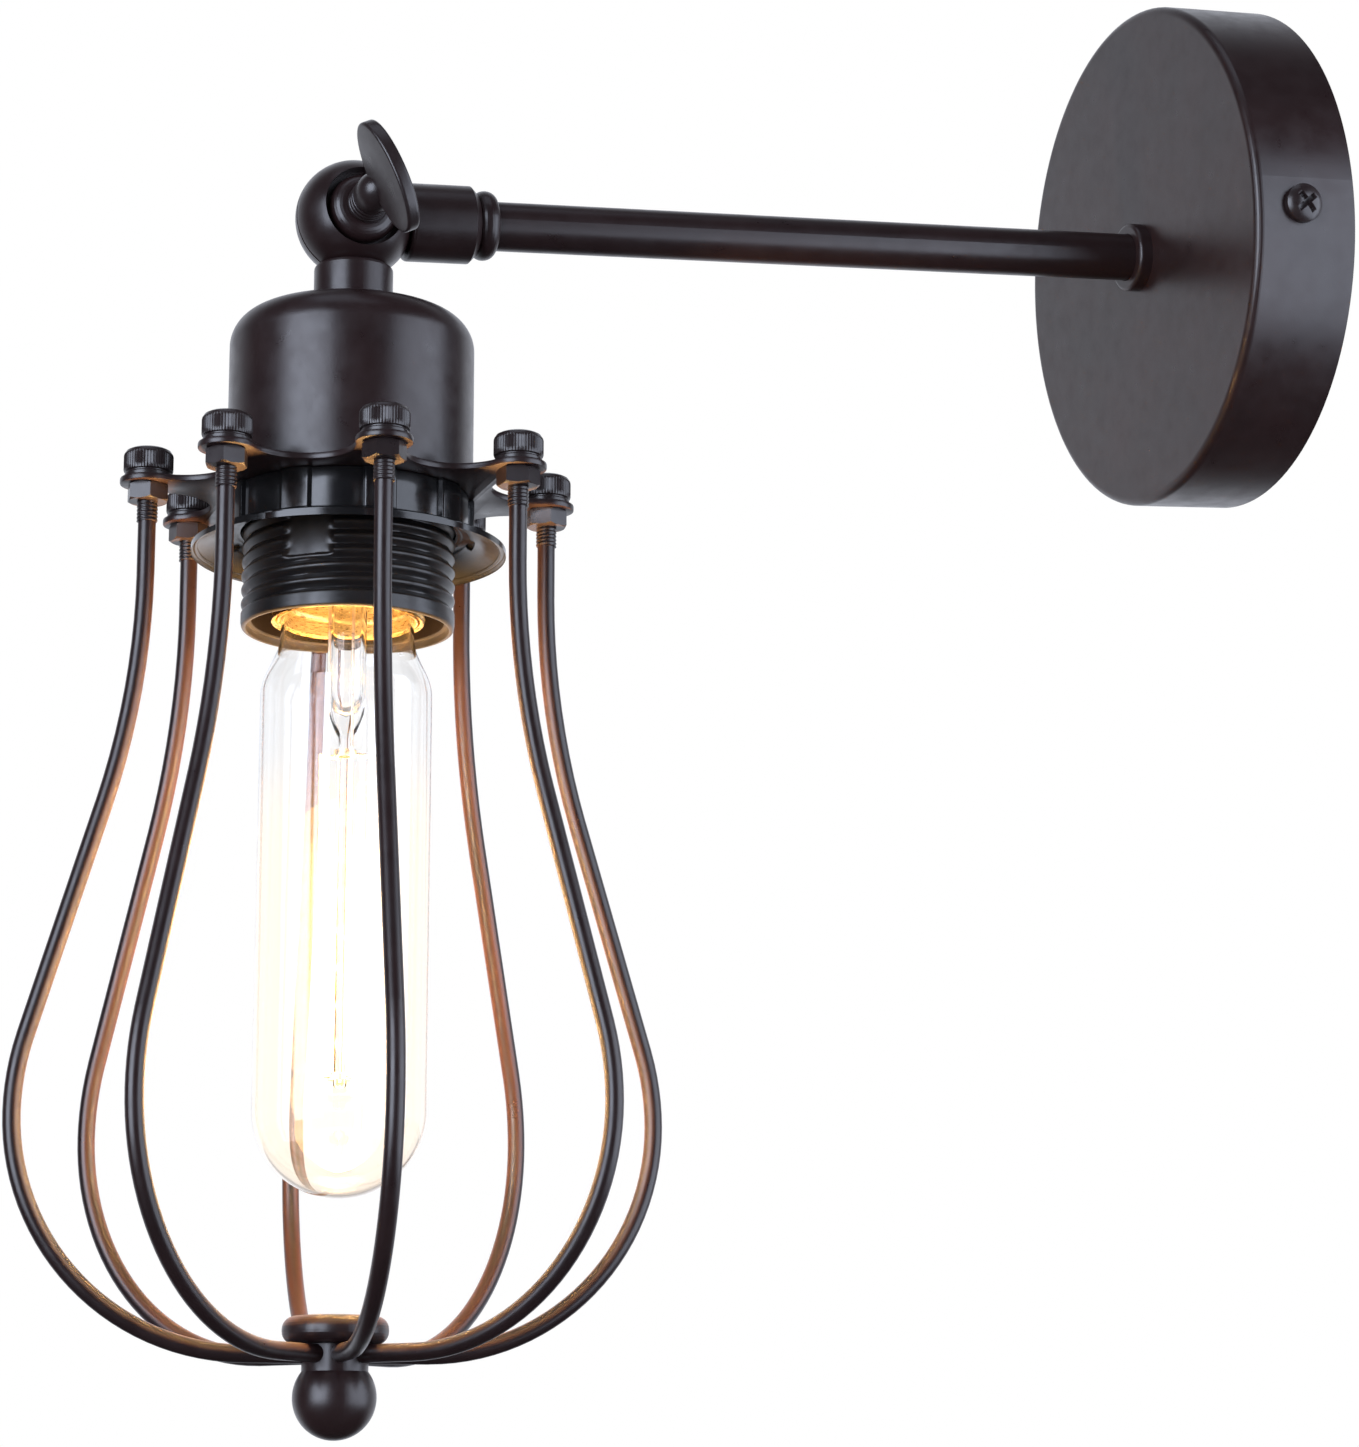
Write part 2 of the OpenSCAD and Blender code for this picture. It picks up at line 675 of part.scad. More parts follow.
module thumb_screw() {
  collar_h = 1.2;
  groove_h = 0.8;
  groove_d = boss_d - 1.4;
  knob_h = boss_l - collar_h - groove_h;
  knob_r = boss_d / 2;
  color(bronze) at_pin() rotate([wing_turn, 0, 0]) {
    along_pin() rotate_extrude() polygon(concat(
      [[0, -shank_in], [shank_d / 2, -shank_in], [shank_d / 2, boss_start]],
      [[knob_r, boss_start], [knob_r, boss_start + collar_h], [groove_d / 2, boss_start + collar_h]],
      [[groove_d / 2, boss_start + collar_h + groove_h], [knob_r, boss_start + collar_h + groove_h]],
      [for (i = [1:arc_steps - 1]) let (a = 90 * i / arc_steps)
        [knob_r * cos(a), boss_start + collar_h + groove_h + knob_h * sin(a)]],
      [[0, boss_start + boss_l]]
    ));
    translate([wing_centre, 0, 0]) rotate([90, 0, 0]) linear_extrude(wing_t, center = true) wing_outline();
    for (side = [-1, 1]) translate([boss_start + boss_l - lug_d / 2, 0, side * lug_span / 2]) along_pin()
      rotate_extrude($fn = 36) intersection() {
        circle(d = lug_d);
        translate([0, -lug_d]) square(2 * lug_d);
      }
  }
}

module socket_nipple() {
  color(zinc) on_head() ring(arm_d, lead_bore, -nipple_low, -cup_top + nipple_bore_l - 0.3);
}

module nipple_nut() {
  color(brass) on_head() translate([0, 0, -nipple_nut_top - lock_nut_h]) lock_nut();
}

module socket_cup() {
  outer_r = cup_d / 2;
  inner_r = outer_r - cup_wall;
  inner_shoulder = cup_shoulder_r - cup_wall;
  shoulder_x = outer_r - cup_shoulder_r;
  color(bronze) on_head() translate([0, 0, -cup_floor]) rotate_extrude($fn = 96) polygon(concat(
    [[inner_r, 0], [outer_r, 0]],
    arc(shoulder_x, cup_h - cup_shoulder_r, cup_shoulder_r, 0, 90, 14),
    [[arm_bore / 2, cup_h], [arm_bore / 2, cup_h - cup_wall]],
    arc(shoulder_x, cup_h - cup_shoulder_r, inner_shoulder, 90, 0, 14)
  ));
}

module holder_cap() {
  outer_r = holder_cap_d / 2;
  spigot_r = skirt_id / 2 - fit_clearance;
  neck_r = arm_bore / 2 + 3;
  slope_h = 9;
  entry_h = 6;
  inner_top = entry_h + holder_cap_wall / 2;
  color(bakelite) on_head() mirror([0, 0, 1]) translate([0, 0, holder_top]) rotate_extrude() polygon([
    [arm_bore / 2, 0], [neck_r, 0], [outer_r, slope_h], [outer_r, holder_cap_h],
    [spigot_r, holder_cap_h], [spigot_r, holder_cap_h + spigot_h],
    [spigot_r - holder_cap_wall, holder_cap_h + spigot_h], [spigot_r - holder_cap_wall, slope_h + 1],
    [neck_r, inner_top], [arm_bore / 2, inner_top]
  ]);
}

// Places of the two terminal screws on the ceramic insert
module each_terminal() {
  for (side = [-1, 1]) translate([side * insert_d / 4, 0, 0]) children();
}

module holder_insert() {
  well_h = insert_h / 2;
  color([0.9, 0.88, 0.84]) on_head() translate([0, 0, -insert_low]) difference() {
    cylinder(d = insert_d, h = insert_h);
    translate([0, 0, -1]) cylinder(d = 3 + 2 * fit_clearance, h = insert_h + 2);
    each_terminal() translate([0, 0, insert_h - well_h]) cylinder(d = 3 + 2 * fit_clearance, h = well_h + 1);
    for (a = [90, 270]) rotate([0, 0, a]) translate([insert_d / 2 - 3, -3, -1]) cube([4, 6, insert_h + 2]);
  }
}

module terminal_screws() {
  head_h = 1.8;
  color(brass) on_head() translate([0, 0, -insert_top]) each_terminal() {
    cylinder(d = 5.6, h = head_h);
    translate([0, 0, -insert_h / 2 + 0.3]) cylinder(d = 3, h = insert_h / 2);
  }
}

// Rivet through the insert, with a sprung tongue folded back under it
module centre_contact() {
  fold_x = -0.7 * tongue_l;
  free_x = 0.25 * tongue_l;
  leaf_top = tongue_t - tongue_drop;
  color(brass) on_head() translate([0, 0, -insert_low]) {
    translate([0, 0, -tongue_t / 2]) cylinder(d = 3, h = insert_h + tongue_t);
    translate([0, 0, insert_h]) cylinder(d = 5, h = 0.8);
    rotate([90, 0, 0]) linear_extrude(tongue_w, center = true) polygon([
      [fold_x, 0], [fold_x + tongue_l, 0], [fold_x + tongue_l, -tongue_t], [fold_x + 2 * tongue_t, -tongue_t],
      [free_x, leaf_top], [free_x, -tongue_drop], [fold_x + 1.2 * tongue_t, leaf_top], [fold_x, -tongue_t]
    ]);
  }
}

module screw_shell() {
  shell_h = shell_low - insert_low;
  color(brass) on_head() translate([0, 0, -shell_low]) rotate_extrude() polygon([
    [shell_id / 2, 0], [shell_d / 2, 0], [shell_d / 2, shell_h], [shell_id / 2 - 3, shell_h],
    [shell_id / 2 - 3, shell_h - shell_wall], [shell_id / 2, shell_h - shell_wall]
  ]);
}

module holder_skirt() {
  skirt_h = mouth - cap_low;
  ledge_h = mouth - insert_low;
  mouth_edge = 0.8;
  color(bakelite) on_head() translate([0, 0, -mouth]) rotate_extrude($fn = 96) polygon([
    [skirt_id / 2, 0], [thread_d / 2 - mouth_edge, 0], [thread_d / 2, mouth_edge],
    [thread_d / 2, skirt_h], [skirt_id / 2, skirt_h],
    [skirt_id / 2, ledge_h], [shell_d / 2 + fit_clearance, ledge_h],
    [shell_d / 2 + fit_clearance, ledge_h - ledge_t], [skirt_id / 2, ledge_h - ledge_t]
  ]);
}

// Outline of the cage plate: round lobes joined by hollow scallops that run smoothly into them
module plate_outline() {
  half = 180 / wire_count;
  inset = waist_r - lobe_r;
  scallop_x = (pow(bolt_r, 2) - pow(inset, 2)) / (2 * (bolt_r * cos(half) - inset));
  scallop_r = scallop_x - waist_r;
  meet = atan2(scallop_x * sin(half), scallop_x * cos(half) - bolt_r);
  polygon([for (i = [0:wire_count - 1]) let (turn = wire_turn + 2 * half * i) each concat(
    arc(bolt_r * cos(turn), bolt_r * sin(turn), lobe_r, turn - meet, turn + meet, 12),
    arc(scallop_x * cos(turn + half), scallop_x * sin(turn + half), scallop_r,
      turn + meet + 180, turn + 2 * half - meet + 180, 14, 1)
  )]);
}

module cage_plate() {
  color(bronze) on_head() translate([0, 0, -plate_low]) difference() {
    linear_extrude(plate_t) plate_outline();
    translate([0, 0, -1]) cylinder(d = ring_thread_d, h = plate_t + 2);
    each_wire() translate([bolt_r, 0, -1])
      cylinder(d = wire_thread_d + 2 * fit_clearance, h = plate_t + 2, $fn = 24);
  }
}

module shade_ring() {
  bore_r = ring_thread_d / 2;
  rim_r = flange_d / 2;
  grip_r = grip_d / 2;
  slope_top = flange_rim_h + flange_slope_h;
  ring_h = slope_top + grip_h;
  hollow_top = slope_top - flange_wall;
  color(bakelite) on_head() translate([0, 0, -ring_low]) {
    rotate_extrude($fn = 96) polygon([
      [rim_r - flange_wall, 0], [rim_r, 0], [rim_r, flange_rim_h], [grip_r, slope_top], [grip_r, ring_h],
      [bore_r, ring_h], [bore_r, hollow_top], [bore_r + 1.2, hollow_top], [rim_r - flange_wall, flange_rim_h - 1.2]
    ]);
    intersection() {
      ring(grip_d + 2 * pad_h, grip_d - 1, slope_top - 0.6, ring_h - 0.5);
      for (i = [0:pad_count - 1]) rotate([0, 0, i * 360 / pad_count])
        translate([0, -pad_w / 2, 0]) cube([rim_r, pad_w, ring_h]);
    }
  }
}

module cap_nuts() {
  r = cap_nut_d / 2;
  bore_r = wire_thread_d / 2 + fit_clearance;
  foot_h = 1.2;
  groove = 0.4;
  side_h = cap_nut_h - 1.8;
  color(bronze_light) on_head() translate([0, 0, -cup_floor]) each_wire() translate([bolt_r, 0, 0])
    rotate_extrude($fn = 24) polygon(concat(
      [[bore_r, 0], [r, 0], [r, foot_h], [r - groove, foot_h + 0.1], [r - groove, foot_h + groove + 0.1]],
      [[r, foot_h + groove + 0.2]],
      [for (a = [0:18:72]) [r * cos(a), side_h + 1.8 * sin(a)]],
      [[0, cap_nut_h], [0, cap_nut_h - 1.8], [bore_r, cap_nut_h - 1.8]]
    ));
}

module hex_nuts() {
  corner_r = hex_af / 2 / cos(30);
  slope = (corner_r - hex_af / 2) * 0.577;
  color(bronze_light) on_head() translate([0, 0, -plate_low - hex_h]) each_wire() translate([bolt_r, 0, 0])
    difference() {
      intersection() {
        rotate([0, 0, 30]) cylinder(r = corner_r, h = hex_h, $fn = 6);
        rotate_extrude($fn = 24) polygon([
          [0, 0], [hex_af / 2, 0], [corner_r, slope], [corner_r, hex_h - slope], [hex_af / 2, hex_h], [0, hex_h]
        ]);
      }
      translate([0, 0, -1]) cylinder(d = wire_thread_d + 2 * fit_clearance, h = hex_h + 2, $fn = 24);
    }
}

// Bend of a wire round [x, z], from angle a on through the angle sweep
module wire_bend(x, z, r, a, sweep) {
  translate([x, 0, z]) rotate([90, 0, 0]) rotate([0, 0, a])
    rotate_extrude(angle = sweep, $fn = 60) translate([r, 0]) circle(d = wire_d - bend_thinning, $fn = 20);
}

// Cage wire number i, from its threaded end down to the hub's neck
module cage_wire(i) {
  slope_x = bolt_r + shoulder_bend_r * (1 - cos(wire_slope));
  foot_x = belly_r - foot_bend_r;
  color(bronze) on_head() rotate([0, 0, wire_turn + (i - 1) * 360 / wire_count]) difference() {
    union() {
      translate([bolt_r, 0, -thread_end]) cylinder(d = wire_thread_d, h = thread_end - wire_top, $fn = 24);
      translate([bolt_r, 0, -bend_start - bend_lap])
        cylinder(d = wire_d, h = bend_start + 2 * bend_lap - thread_end, $fn = 20);
      wire_bend(bolt_r + shoulder_bend_r, -bend_start, shoulder_bend_r, 180, wire_slope);
      translate([slope_x, 0, -slope_start]) rotate([0, 180 - wire_slope, 0]) translate([0, 0, -bend_lap])
        cylinder(d = wire_d, h = slope_l + 2 * bend_lap, $fn = 20);
      wire_bend(belly_r - belly_bend_r, -belly_level, belly_bend_r, 0, wire_slope);
      wire_bend(foot_x, -belly_level, foot_bend_r, -90, 90);
      translate([0, 0, -hub_level]) along_pin() cylinder(d = wire_d, h = foot_x + bend_lap, $fn = 20);
    }
    translate([0, 0, -hub_level - wire_d]) cylinder(r = hub_neck_r + 0.02, h = 2 * wire_d);
  }
}

module cage_wire_1() {
  cage_wire(1);
}

module cage_wire_2() {
  cage_wire(2);
}

module cage_wire_3() {
  cage_wire(3);
}

module cage_wire_4() {
  cage_wire(4);
}

module cage_wire_5() {
  cage_wire(5);
}

module cage_wire_6() {
  if (wire_count > 5) cage_wire(6);
}

module cage_wire_7() {
  if (wire_count > 6) cage_wire(7);
}

module cage_wire_8() {
  if (wire_count > 7) cage_wire(8);
}

module cage_hub() {
  edge = min(drum_edge, drum_h / 2 - 0.2);
  neck_h = hub_low - drum_low;
  hub_h = hub_low - drum_top;
  drum_r = drum_d / 2;
  bore_r = stud_d / 2 + fit_clearance;
  color(bronze) on_head() translate([0, 0, -hub_low]) rotate_extrude() polygon(concat(
    [[bore_r, 0], [hub_neck_r, 0], [hub_neck_r, neck_h]],
    arc(drum_r - edge, neck_h + edge, edge, -90, 0),
    arc(drum_r - edge, hub_h - edge, edge, 0, 90),
    [[0, hub_h], [0, stud_l + 0.3], [bore_r, stud_l + 0.3]]
  ));
}

module ball_finial() {
  color(bronze) on_head() {
    difference() {
      translate([0, 0, -finial_level]) sphere(r = finial_r, $fn = 60);
      translate([-finial_d, -finial_d, -hub_low]) cube(2 * finial_d);
    }
    translate([0, 0, -hub_low - 1]) cylinder(d = stud_d, h = stud_l + 1);
  }
}

module bulb_cap() {
  cone_r = cap_end_d / 2;
  cone_h = 1.4;
  color([0.78, 0.72, 0.55]) on_head() translate([0, 0, -cap_rim]) rotate_extrude() polygon([
    [cap_r - cap_wall, 0], [cap_r, 0], [cap_r, cap_h], [cone_r, cap_h + cone_h],
    [cone_r - cap_wall, cap_h + cone_h], [cap_r - cap_wall, cap_h - cap_wall / 2]
  ]);
}

module bulb_insulator() {
  button_r = cap_end_d / 2 - cap_wall - fit_clearance;
  button_h = cap_end_h - 0.9;
  color([0.05, 0.05, 0.07]) on_head() translate([0, 0, -cap_rim + cap_h]) rotate_extrude() polygon([
    [0, -0.8], [button_r, -0.8], [button_r, button_h - 0.7], [tip_d / 2 + 0.3, button_h], [0, button_h]
  ]);
}

module bulb_tip() {
  color([0.75, 0.74, 0.72]) on_head() translate([0, 0, -tip_level - 0.9]) pan_head(tip_d, 0.9);
}

// Half section of the glass between its neck and its round end, drawn hanging from the tilt pin
function glass_section(inset) =
  concat(
    [[glass_neck_r - inset, -glass_top], [glass_neck_r - inset, -cap_rim - glass_neck_l]],
    [for (i = [1:10]) let (t = i / 10)
      [glass_neck_r - inset + (glass_r - glass_neck_r) * (1 - cos(180 * t)) / 2,
        -cap_rim - glass_neck_l - glass_shoulder_h * t]],
    arc(0, -dome_level, glass_r - inset, 0, -90, 10)
  );

module bulb_glass() {
  inner = glass_section(glass_wall);
  color([0.95, 0.8, 0.6, 0.35]) on_head() rotate_extrude() polygon(concat(
    glass_section(0),
    [for (i = [len(inner) - 1:-1:0]) inner[i]]
  ));
}

module bulb_stem() {
  bore_r = stem_tube_r - stem_wall;
  flange_t = stem_wall;
  color([0.9, 0.9, 0.9, 0.4]) on_head() rotate_extrude($fn = 32) polygon([
    [bore_r, -glass_top + flange_t], [glass_neck_r, -glass_top + flange_t], [glass_neck_r, -glass_top],
    [stem_tube_r, -glass_top], [stem_tube_r, -stem_low + 4], [stem_rod_r, -stem_low],
    [stem_rod_r, -filament_low - 2], [0, -filament_low - 2], [0, -stem_low + 4], [bore_r, -stem_low + 7]
  ]);
}

// Places between two neighbouring strands of the filament, from number a on in steps of two
module each_crossbar(a) {
  for (i = [a:2:filament_count - 2 + (1 - a)]) rotate([0, 0, (i + 0.5) * 360 / filament_count]) children();
}

// Collar on the stem's rod with a wire out to each crossbar
module filament_spider(a) {
  bar_r = filament_r * cos(180 / filament_count) - filament_d / 2 - 0.05;
  translate([0, 0, -0.6]) ring(2 * stem_rod_r + 1.8, 2 * (stem_rod_r + fit_clearance), 0, 1.2);
  each_crossbar(a) translate([stem_rod_r + 0.6, 0, 0]) along_pin()
    cylinder(d = support_d, h = bar_r - stem_rod_r - 0.6, $fn = 16);
}

module filament_supports() {
  lead_l = filament_top - glass_top - 0.2;
  color([0.7, 0.7, 0.72]) on_head() {
    translate([0, 0, -filament_top]) filament_spider(1);
    translate([0, 0, -filament_low]) filament_spider(0);
    for (i = [0, filament_count - 1]) rotate([0, 0, i * 360 / filament_count])
      translate([filament_r, 0, -filament_top + 0.1]) cylinder(d = support_d, h = lead_l, $fn = 16);
  }
}

module filament() {
  bar_l = 2 * filament_r * sin(180 / filament_count);
  bar_x = filament_r * cos(180 / filament_count);
  bar_d = filament_d * 0.8;
  color([1, 0.6, 0.25]) on_head() {
    for (i = [0:filament_count - 1]) rotate([0, 0, i * 360 / filament_count])
      translate([filament_r, 0, -filament_low - filament_d / 2])
        cylinder(d = filament_d, h = filament_low - filament_top + filament_d / 2, $fn = 16);
    translate([0, 0, -filament_low]) each_crossbar(0) translate([bar_x, 0, 0]) rotate([90, 0, 0])
      cylinder(d = bar_d, h = bar_l, center = true, $fn = 16);
    translate([0, 0, -filament_top - filament_d / 2]) each_crossbar(1)
      translate([bar_x, 0, 0]) rotate([90, 0, 0])
      cylinder(d = bar_d, h = bar_l, center = true, $fn = 16);
  }
}

canopy();
wall_bracket();
canopy_screws();
earth_screw();
arm_collar();
arm_lock_washer();
arm_lock_nut();
arm_tube();
lead_bushing();
arm_end_ring();
knuckle_arm_half();
friction_ring();
thumb_screw();
knuckle_head_half();
cup_washer();
socket_nipple();
nipple_nut();
socket_cup();
holder_cap();
holder_insert();
terminal_screws();
centre_contact();
screw_shell();
holder_skirt();
cage_plate();
shade_ring();
cap_nuts();
hex_nuts();
cage_wire_1();
cage_wire_2();
cage_wire_3();
cage_wire_4();
cage_wire_5();
cage_wire_6();
cage_wire_7();
cage_wire_8();
cage_hub();
ball_finial();
bulb_cap();
bulb_insulator();
bulb_tip();
bulb_glass();
bulb_stem();
filament_supports();
filament();
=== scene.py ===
import json
import math

import bmesh
import bpy
from mathutils import Matrix, Vector
from mathutils.geometry import tessellate_polygon


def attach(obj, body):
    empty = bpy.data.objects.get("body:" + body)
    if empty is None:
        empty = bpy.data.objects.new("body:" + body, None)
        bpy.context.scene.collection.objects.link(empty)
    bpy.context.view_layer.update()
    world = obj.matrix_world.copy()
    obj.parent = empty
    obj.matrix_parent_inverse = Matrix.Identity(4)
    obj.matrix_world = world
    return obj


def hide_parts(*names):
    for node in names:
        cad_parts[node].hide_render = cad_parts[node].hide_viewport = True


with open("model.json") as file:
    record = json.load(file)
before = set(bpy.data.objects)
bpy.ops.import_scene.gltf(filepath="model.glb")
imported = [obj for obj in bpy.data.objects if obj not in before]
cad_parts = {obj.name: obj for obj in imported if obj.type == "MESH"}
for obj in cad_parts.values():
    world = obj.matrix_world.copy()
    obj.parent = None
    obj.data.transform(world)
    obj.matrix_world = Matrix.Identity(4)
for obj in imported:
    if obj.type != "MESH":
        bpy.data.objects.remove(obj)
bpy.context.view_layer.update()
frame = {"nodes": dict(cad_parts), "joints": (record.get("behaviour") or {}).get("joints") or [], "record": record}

MM = 0.001

# Frame of the hanging head: its origin is the tilt pin and its +Z runs up the lamp's axis.
joints = {joint["name"]: joint for joint in frame["joints"]}
PIN = Vector(joints["head_tilt"]["pos_m"])
lamp_up = -Vector(joints["bulb_turn"]["axis"])
HEAD = Matrix.Translation(PIN) @ Matrix.Rotation(-math.atan2(lamp_up.y, lamp_up.z), 4, "X")
# Frame of the canopy: its +Z runs out from the wall.
WALL = Matrix.Rotation(math.radians(90), 4, "X")

# Sizes in millimetres; depths are measured down from the tilt pin along the lamp's axis.
CANOPY_R = 51
PLATE_TOP = 54.1
PLATE_LOW = 55.3
BOLT_R = 37.8
WIRES = 8
CAP_LOW = 37.6
MOUTH = 80.8
SHELL_TOP = 55.4
SHELL_LOW = 79.6
SHELL_PITCH = 3.6
# Turn of the first wire about the lamp's axis, in degrees
FIRST_WIRE = -5


# ---------- Mesh helpers ----------

def piece(name, verts, faces, place, body, material, slot, hides=(), crease=35):
    """Makes a mesh piece from points in millimetres, put in place and riding on a body."""
    mesh = bpy.data.meshes.new(name)
    mesh.from_pydata([place @ (Vector(v) * MM) for v in verts], [], faces)
    mesh.validate()
    outward = bmesh.new()
    outward.from_mesh(mesh)
    bmesh.ops.recalc_face_normals(outward, faces=outward.faces)
    outward.to_mesh(mesh)
    outward.free()
    mesh.shade_smooth()
    mesh.set_sharp_from_angle(angle=math.radians(crease))
    mesh.materials.append(material)
    obj = bpy.data.objects.new(name, mesh)
    bpy.context.scene.collection.objects.link(obj)
    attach(obj, body)
    if hides:
        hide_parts(*hides)
    return obj


def revolve(profile, steps=96, closed=True, shape=None):
    """Turns a profile of (radius, height) round Z. shape(radius, height, angle) may change a radius."""
    verts, faces, bands = [], [], []
    for radius, height in profile:
        if radius < 1e-6:
            bands.append([len(verts)] * steps)
            verts.append((0, 0, height))
            continue
        band = []
        for k in range(steps):
            angle = 2 * math.pi * k / steps
            reach = shape(radius, height, angle) if shape else radius
            band.append(len(verts))
            verts.append((reach * math.cos(angle), reach * math.sin(angle), height))
        bands.append(band)
    pairs = list(zip(bands, bands[1:]))
    if closed:
        pairs.append((bands[-1], bands[0]))
    for low, high in pairs:
        for k in range(steps):
            j = (k + 1) % steps
            corners = [low[k], low[j], high[j], high[k]]
            corners = [c for i, c in enumerate(corners) if c not in corners[:i]]
            if len(corners) > 2:
                faces.append(corners)
    return verts, faces


def oval(x, z, across, up, angles):
    """Points of an oval in the (radius, height) plane, at angles in degrees."""
    return [(x + across * math.cos(math.radians(a)), z + up * math.sin(math.radians(a))) for a in angles]


def arc(x, z, r, start, end, steps=8):
    """Points of an arc in the (radius, height) plane, from one angle in degrees to another."""
    return oval(x, z, r, r, [start + (end - start) * i / steps for i in range(steps + 1)])


def from_height(base, *points):
    """Profile points whose heights are given from a base height."""
    return [(radius, base + rise) for radius, rise in points]


def rows(low, high, step):
    """Evenly spaced heights from low to high, about a step apart."""
    count = max(1, round((high - low) / step))
    return [low + (high - low) * i / count for i in range(count + 1)]


def clamp(value):
    return min(1, max(0, value))


def ridged(pitch, depth, low, high, fade):
    """Radius change of a thread between two heights, dying out at both ends."""
    def shape(radius, height, angle):
        ends = min(1, max(0, (height - low) / fade), max(0, (high - height) / fade))
        wave = 0.5 + 0.5 * math.cos(2 * math.pi * (height / pitch) - angle)
        return radius - depth * (1 - wave) * ends
    return shape


def joined(parts):
    """Joins (verts, faces) pairs into one."""
    verts, faces = [], []
    for more_verts, more_faces in parts:
        base = len(verts)
        verts += more_verts
        faces += [[base + i for i in face] for face in more_faces]
    return verts, faces


def moved(part, matrix):
    """A (verts, faces) pair with its points moved, in millimetres."""
    verts, faces = part
    return [tuple(matrix @ Vector(v)) for v in verts], faces


def band_faces(base, count, levels):
    """Faces between rings of count points that follow one another from vertex base."""
    faces = []
    for i in range(levels - 1):
        for k in range(count):
            a, b = base + i * count + k, base + i * count + (k + 1) % count
            faces.append([a, b, b + count, a + count])
    return faces


def tube(points, radius, sides=12):
    """A round bar with closed ends along a list of points."""
    verts = []
    points = [Vector(p) for p in points]
    side = None
    for i, p in enumerate(points):
        along = (points[min(i + 1, len(points) - 1)] - points[max(i - 1, 0)]).normalized()
        if side is None:
            side = along.orthogonal().normalized()
        side = (side - along * side.dot(along)).normalized()
        other = along.cross(side)
        for k in range(sides):
            angle = 2 * math.pi * k / sides
            verts.append(tuple(p + (side * math.cos(angle) + other * math.sin(angle)) * radius))
    faces = band_faces(0, sides, len(points))
    faces.append(list(range(sides))[::-1])
    last = (len(points) - 1) * sides
    faces.append([last + k for k in range(sides)])
    return verts, faces


def wire_places():
    """Matrices, in millimetres, that put something at each cage wire's top."""
    outward = Matrix.Translation((BOLT_R, 0, 0))
    for i in range(WIRES):
        yield Matrix.Rotation(math.radians(FIRST_WIRE + i * 360 / WIRES), 4, "Z") @ outward


# ---------- Materials ----------

# Noise scales, in cells per metre
CLOUDS = 60
COAT_GLOSS = 240
COAT_GRAIN = 3200
STREAKS = 700
FLOW_MARKS = 90
MOULD_GLOSS = 420
MOULD_GRAIN = 1500
GLASS_TONE = 40
GLASS_WAVES = 70
FILAMENT_TONE = 500
FLOOR_TONE = 3

# Depths of bump, in metres
COAT_BUMP = 0.00004
FINE_BUMP = 0.00003
GLASS_BUMP = 0.0002

GLASS_IOR = 1.38
# Share of the bulb's height, from its round end, over which the painted glow on the glass (a warm tint and
# emission) gives way to the clear glass
PAINTED_GLOW_FROM, PAINTED_GLOW_TO = 0.54, 0.74
PAINTED_GLOW_EMISSION = (0.055, 0.042, 0.028)


def new_material(name):
    material = bpy.data.materials.new(name)
    material.use_nodes = True
    tree = material.node_tree
    return material, tree, tree.nodes["Principled BSDF"]


def noise(tree, scale, detail=3.0, rough=0.5):
    """Noise over the object's own coordinates, with scale in cells per metre."""
    coords = tree.nodes.new("ShaderNodeTexCoord")
    tex = tree.nodes.new("ShaderNodeTexNoise")
    tex.inputs["Scale"].default_value = scale
    tex.inputs["Detail"].default_value = detail
    tex.inputs["Roughness"].default_value = rough
    tree.links.new(coords.outputs["Object"], tex.inputs["Vector"])
    return tex.outputs["Fac"]


def tone(tree, value, dark, light, low=0.3, high=0.7):
    """Colour that goes from dark to light as a noise value goes from low to high."""
    node = tree.nodes.new("ShaderNodeValToRGB")
    for stop, place, colour in zip(node.color_ramp.elements, (low, high), (dark, light)):
        stop.position = place
        stop.color = (*colour, 1)
    tree.links.new(value, node.inputs["Fac"])
    return node.outputs["Color"]


def map_range(tree, value, start, end, low=0.0, high=1.0, smooth=False):
    """Maps a value that goes from start to end onto low to high."""
    node = tree.nodes.new("ShaderNodeMapRange")
    if smooth:
        node.interpolation_type = "SMOOTHSTEP"
    node.inputs["From Min"].default_value = start
    node.inputs["From Max"].default_value = end
    node.inputs["To Min"].default_value = low
    node.inputs["To Max"].default_value = high
    tree.links.new(value, node.inputs["Value"])
    return node.outputs["Result"]


def uneven_gloss(tree, shader, value, roughness, smoother, rougher):
    """Roughness that a noise value moves to either side of its mean."""
    spread = map_range(tree, value, 0.3, 0.7, roughness - smoother, roughness + rougher)
    tree.links.new(spread, shader.inputs["Roughness"])


def bump(tree, shader, height, strength, depth):
    node = tree.nodes.new("ShaderNodeBump")
    node.inputs["Strength"].default_value = strength
    node.inputs["Distance"].default_value = depth
    tree.links.new(height, node.inputs["Height"])
    tree.links.new(node.outputs["Normal"], shader.inputs["Normal"])


def coated_metal(name, dark, light, roughness, grain=0.25):
    """Satin lacquered metal: cloudy tone, uneven gloss and the fine grain of the coat."""
    material, tree, shader = new_material(name)
    tree.links.new(tone(tree, noise(tree, CLOUDS, 4), dark, light), shader.inputs["Base Color"])
    uneven_gloss(tree, shader, noise(tree, COAT_GLOSS, 5, 0.6), roughness, 0.05, 0.06)
    bump(tree, shader, noise(tree, COAT_GRAIN, 4, 0.65), grain, COAT_BUMP)
    shader.inputs["Metallic"].default_value = 0.0
    shader.inputs["Specular IOR Level"].default_value = 0.5
    return material


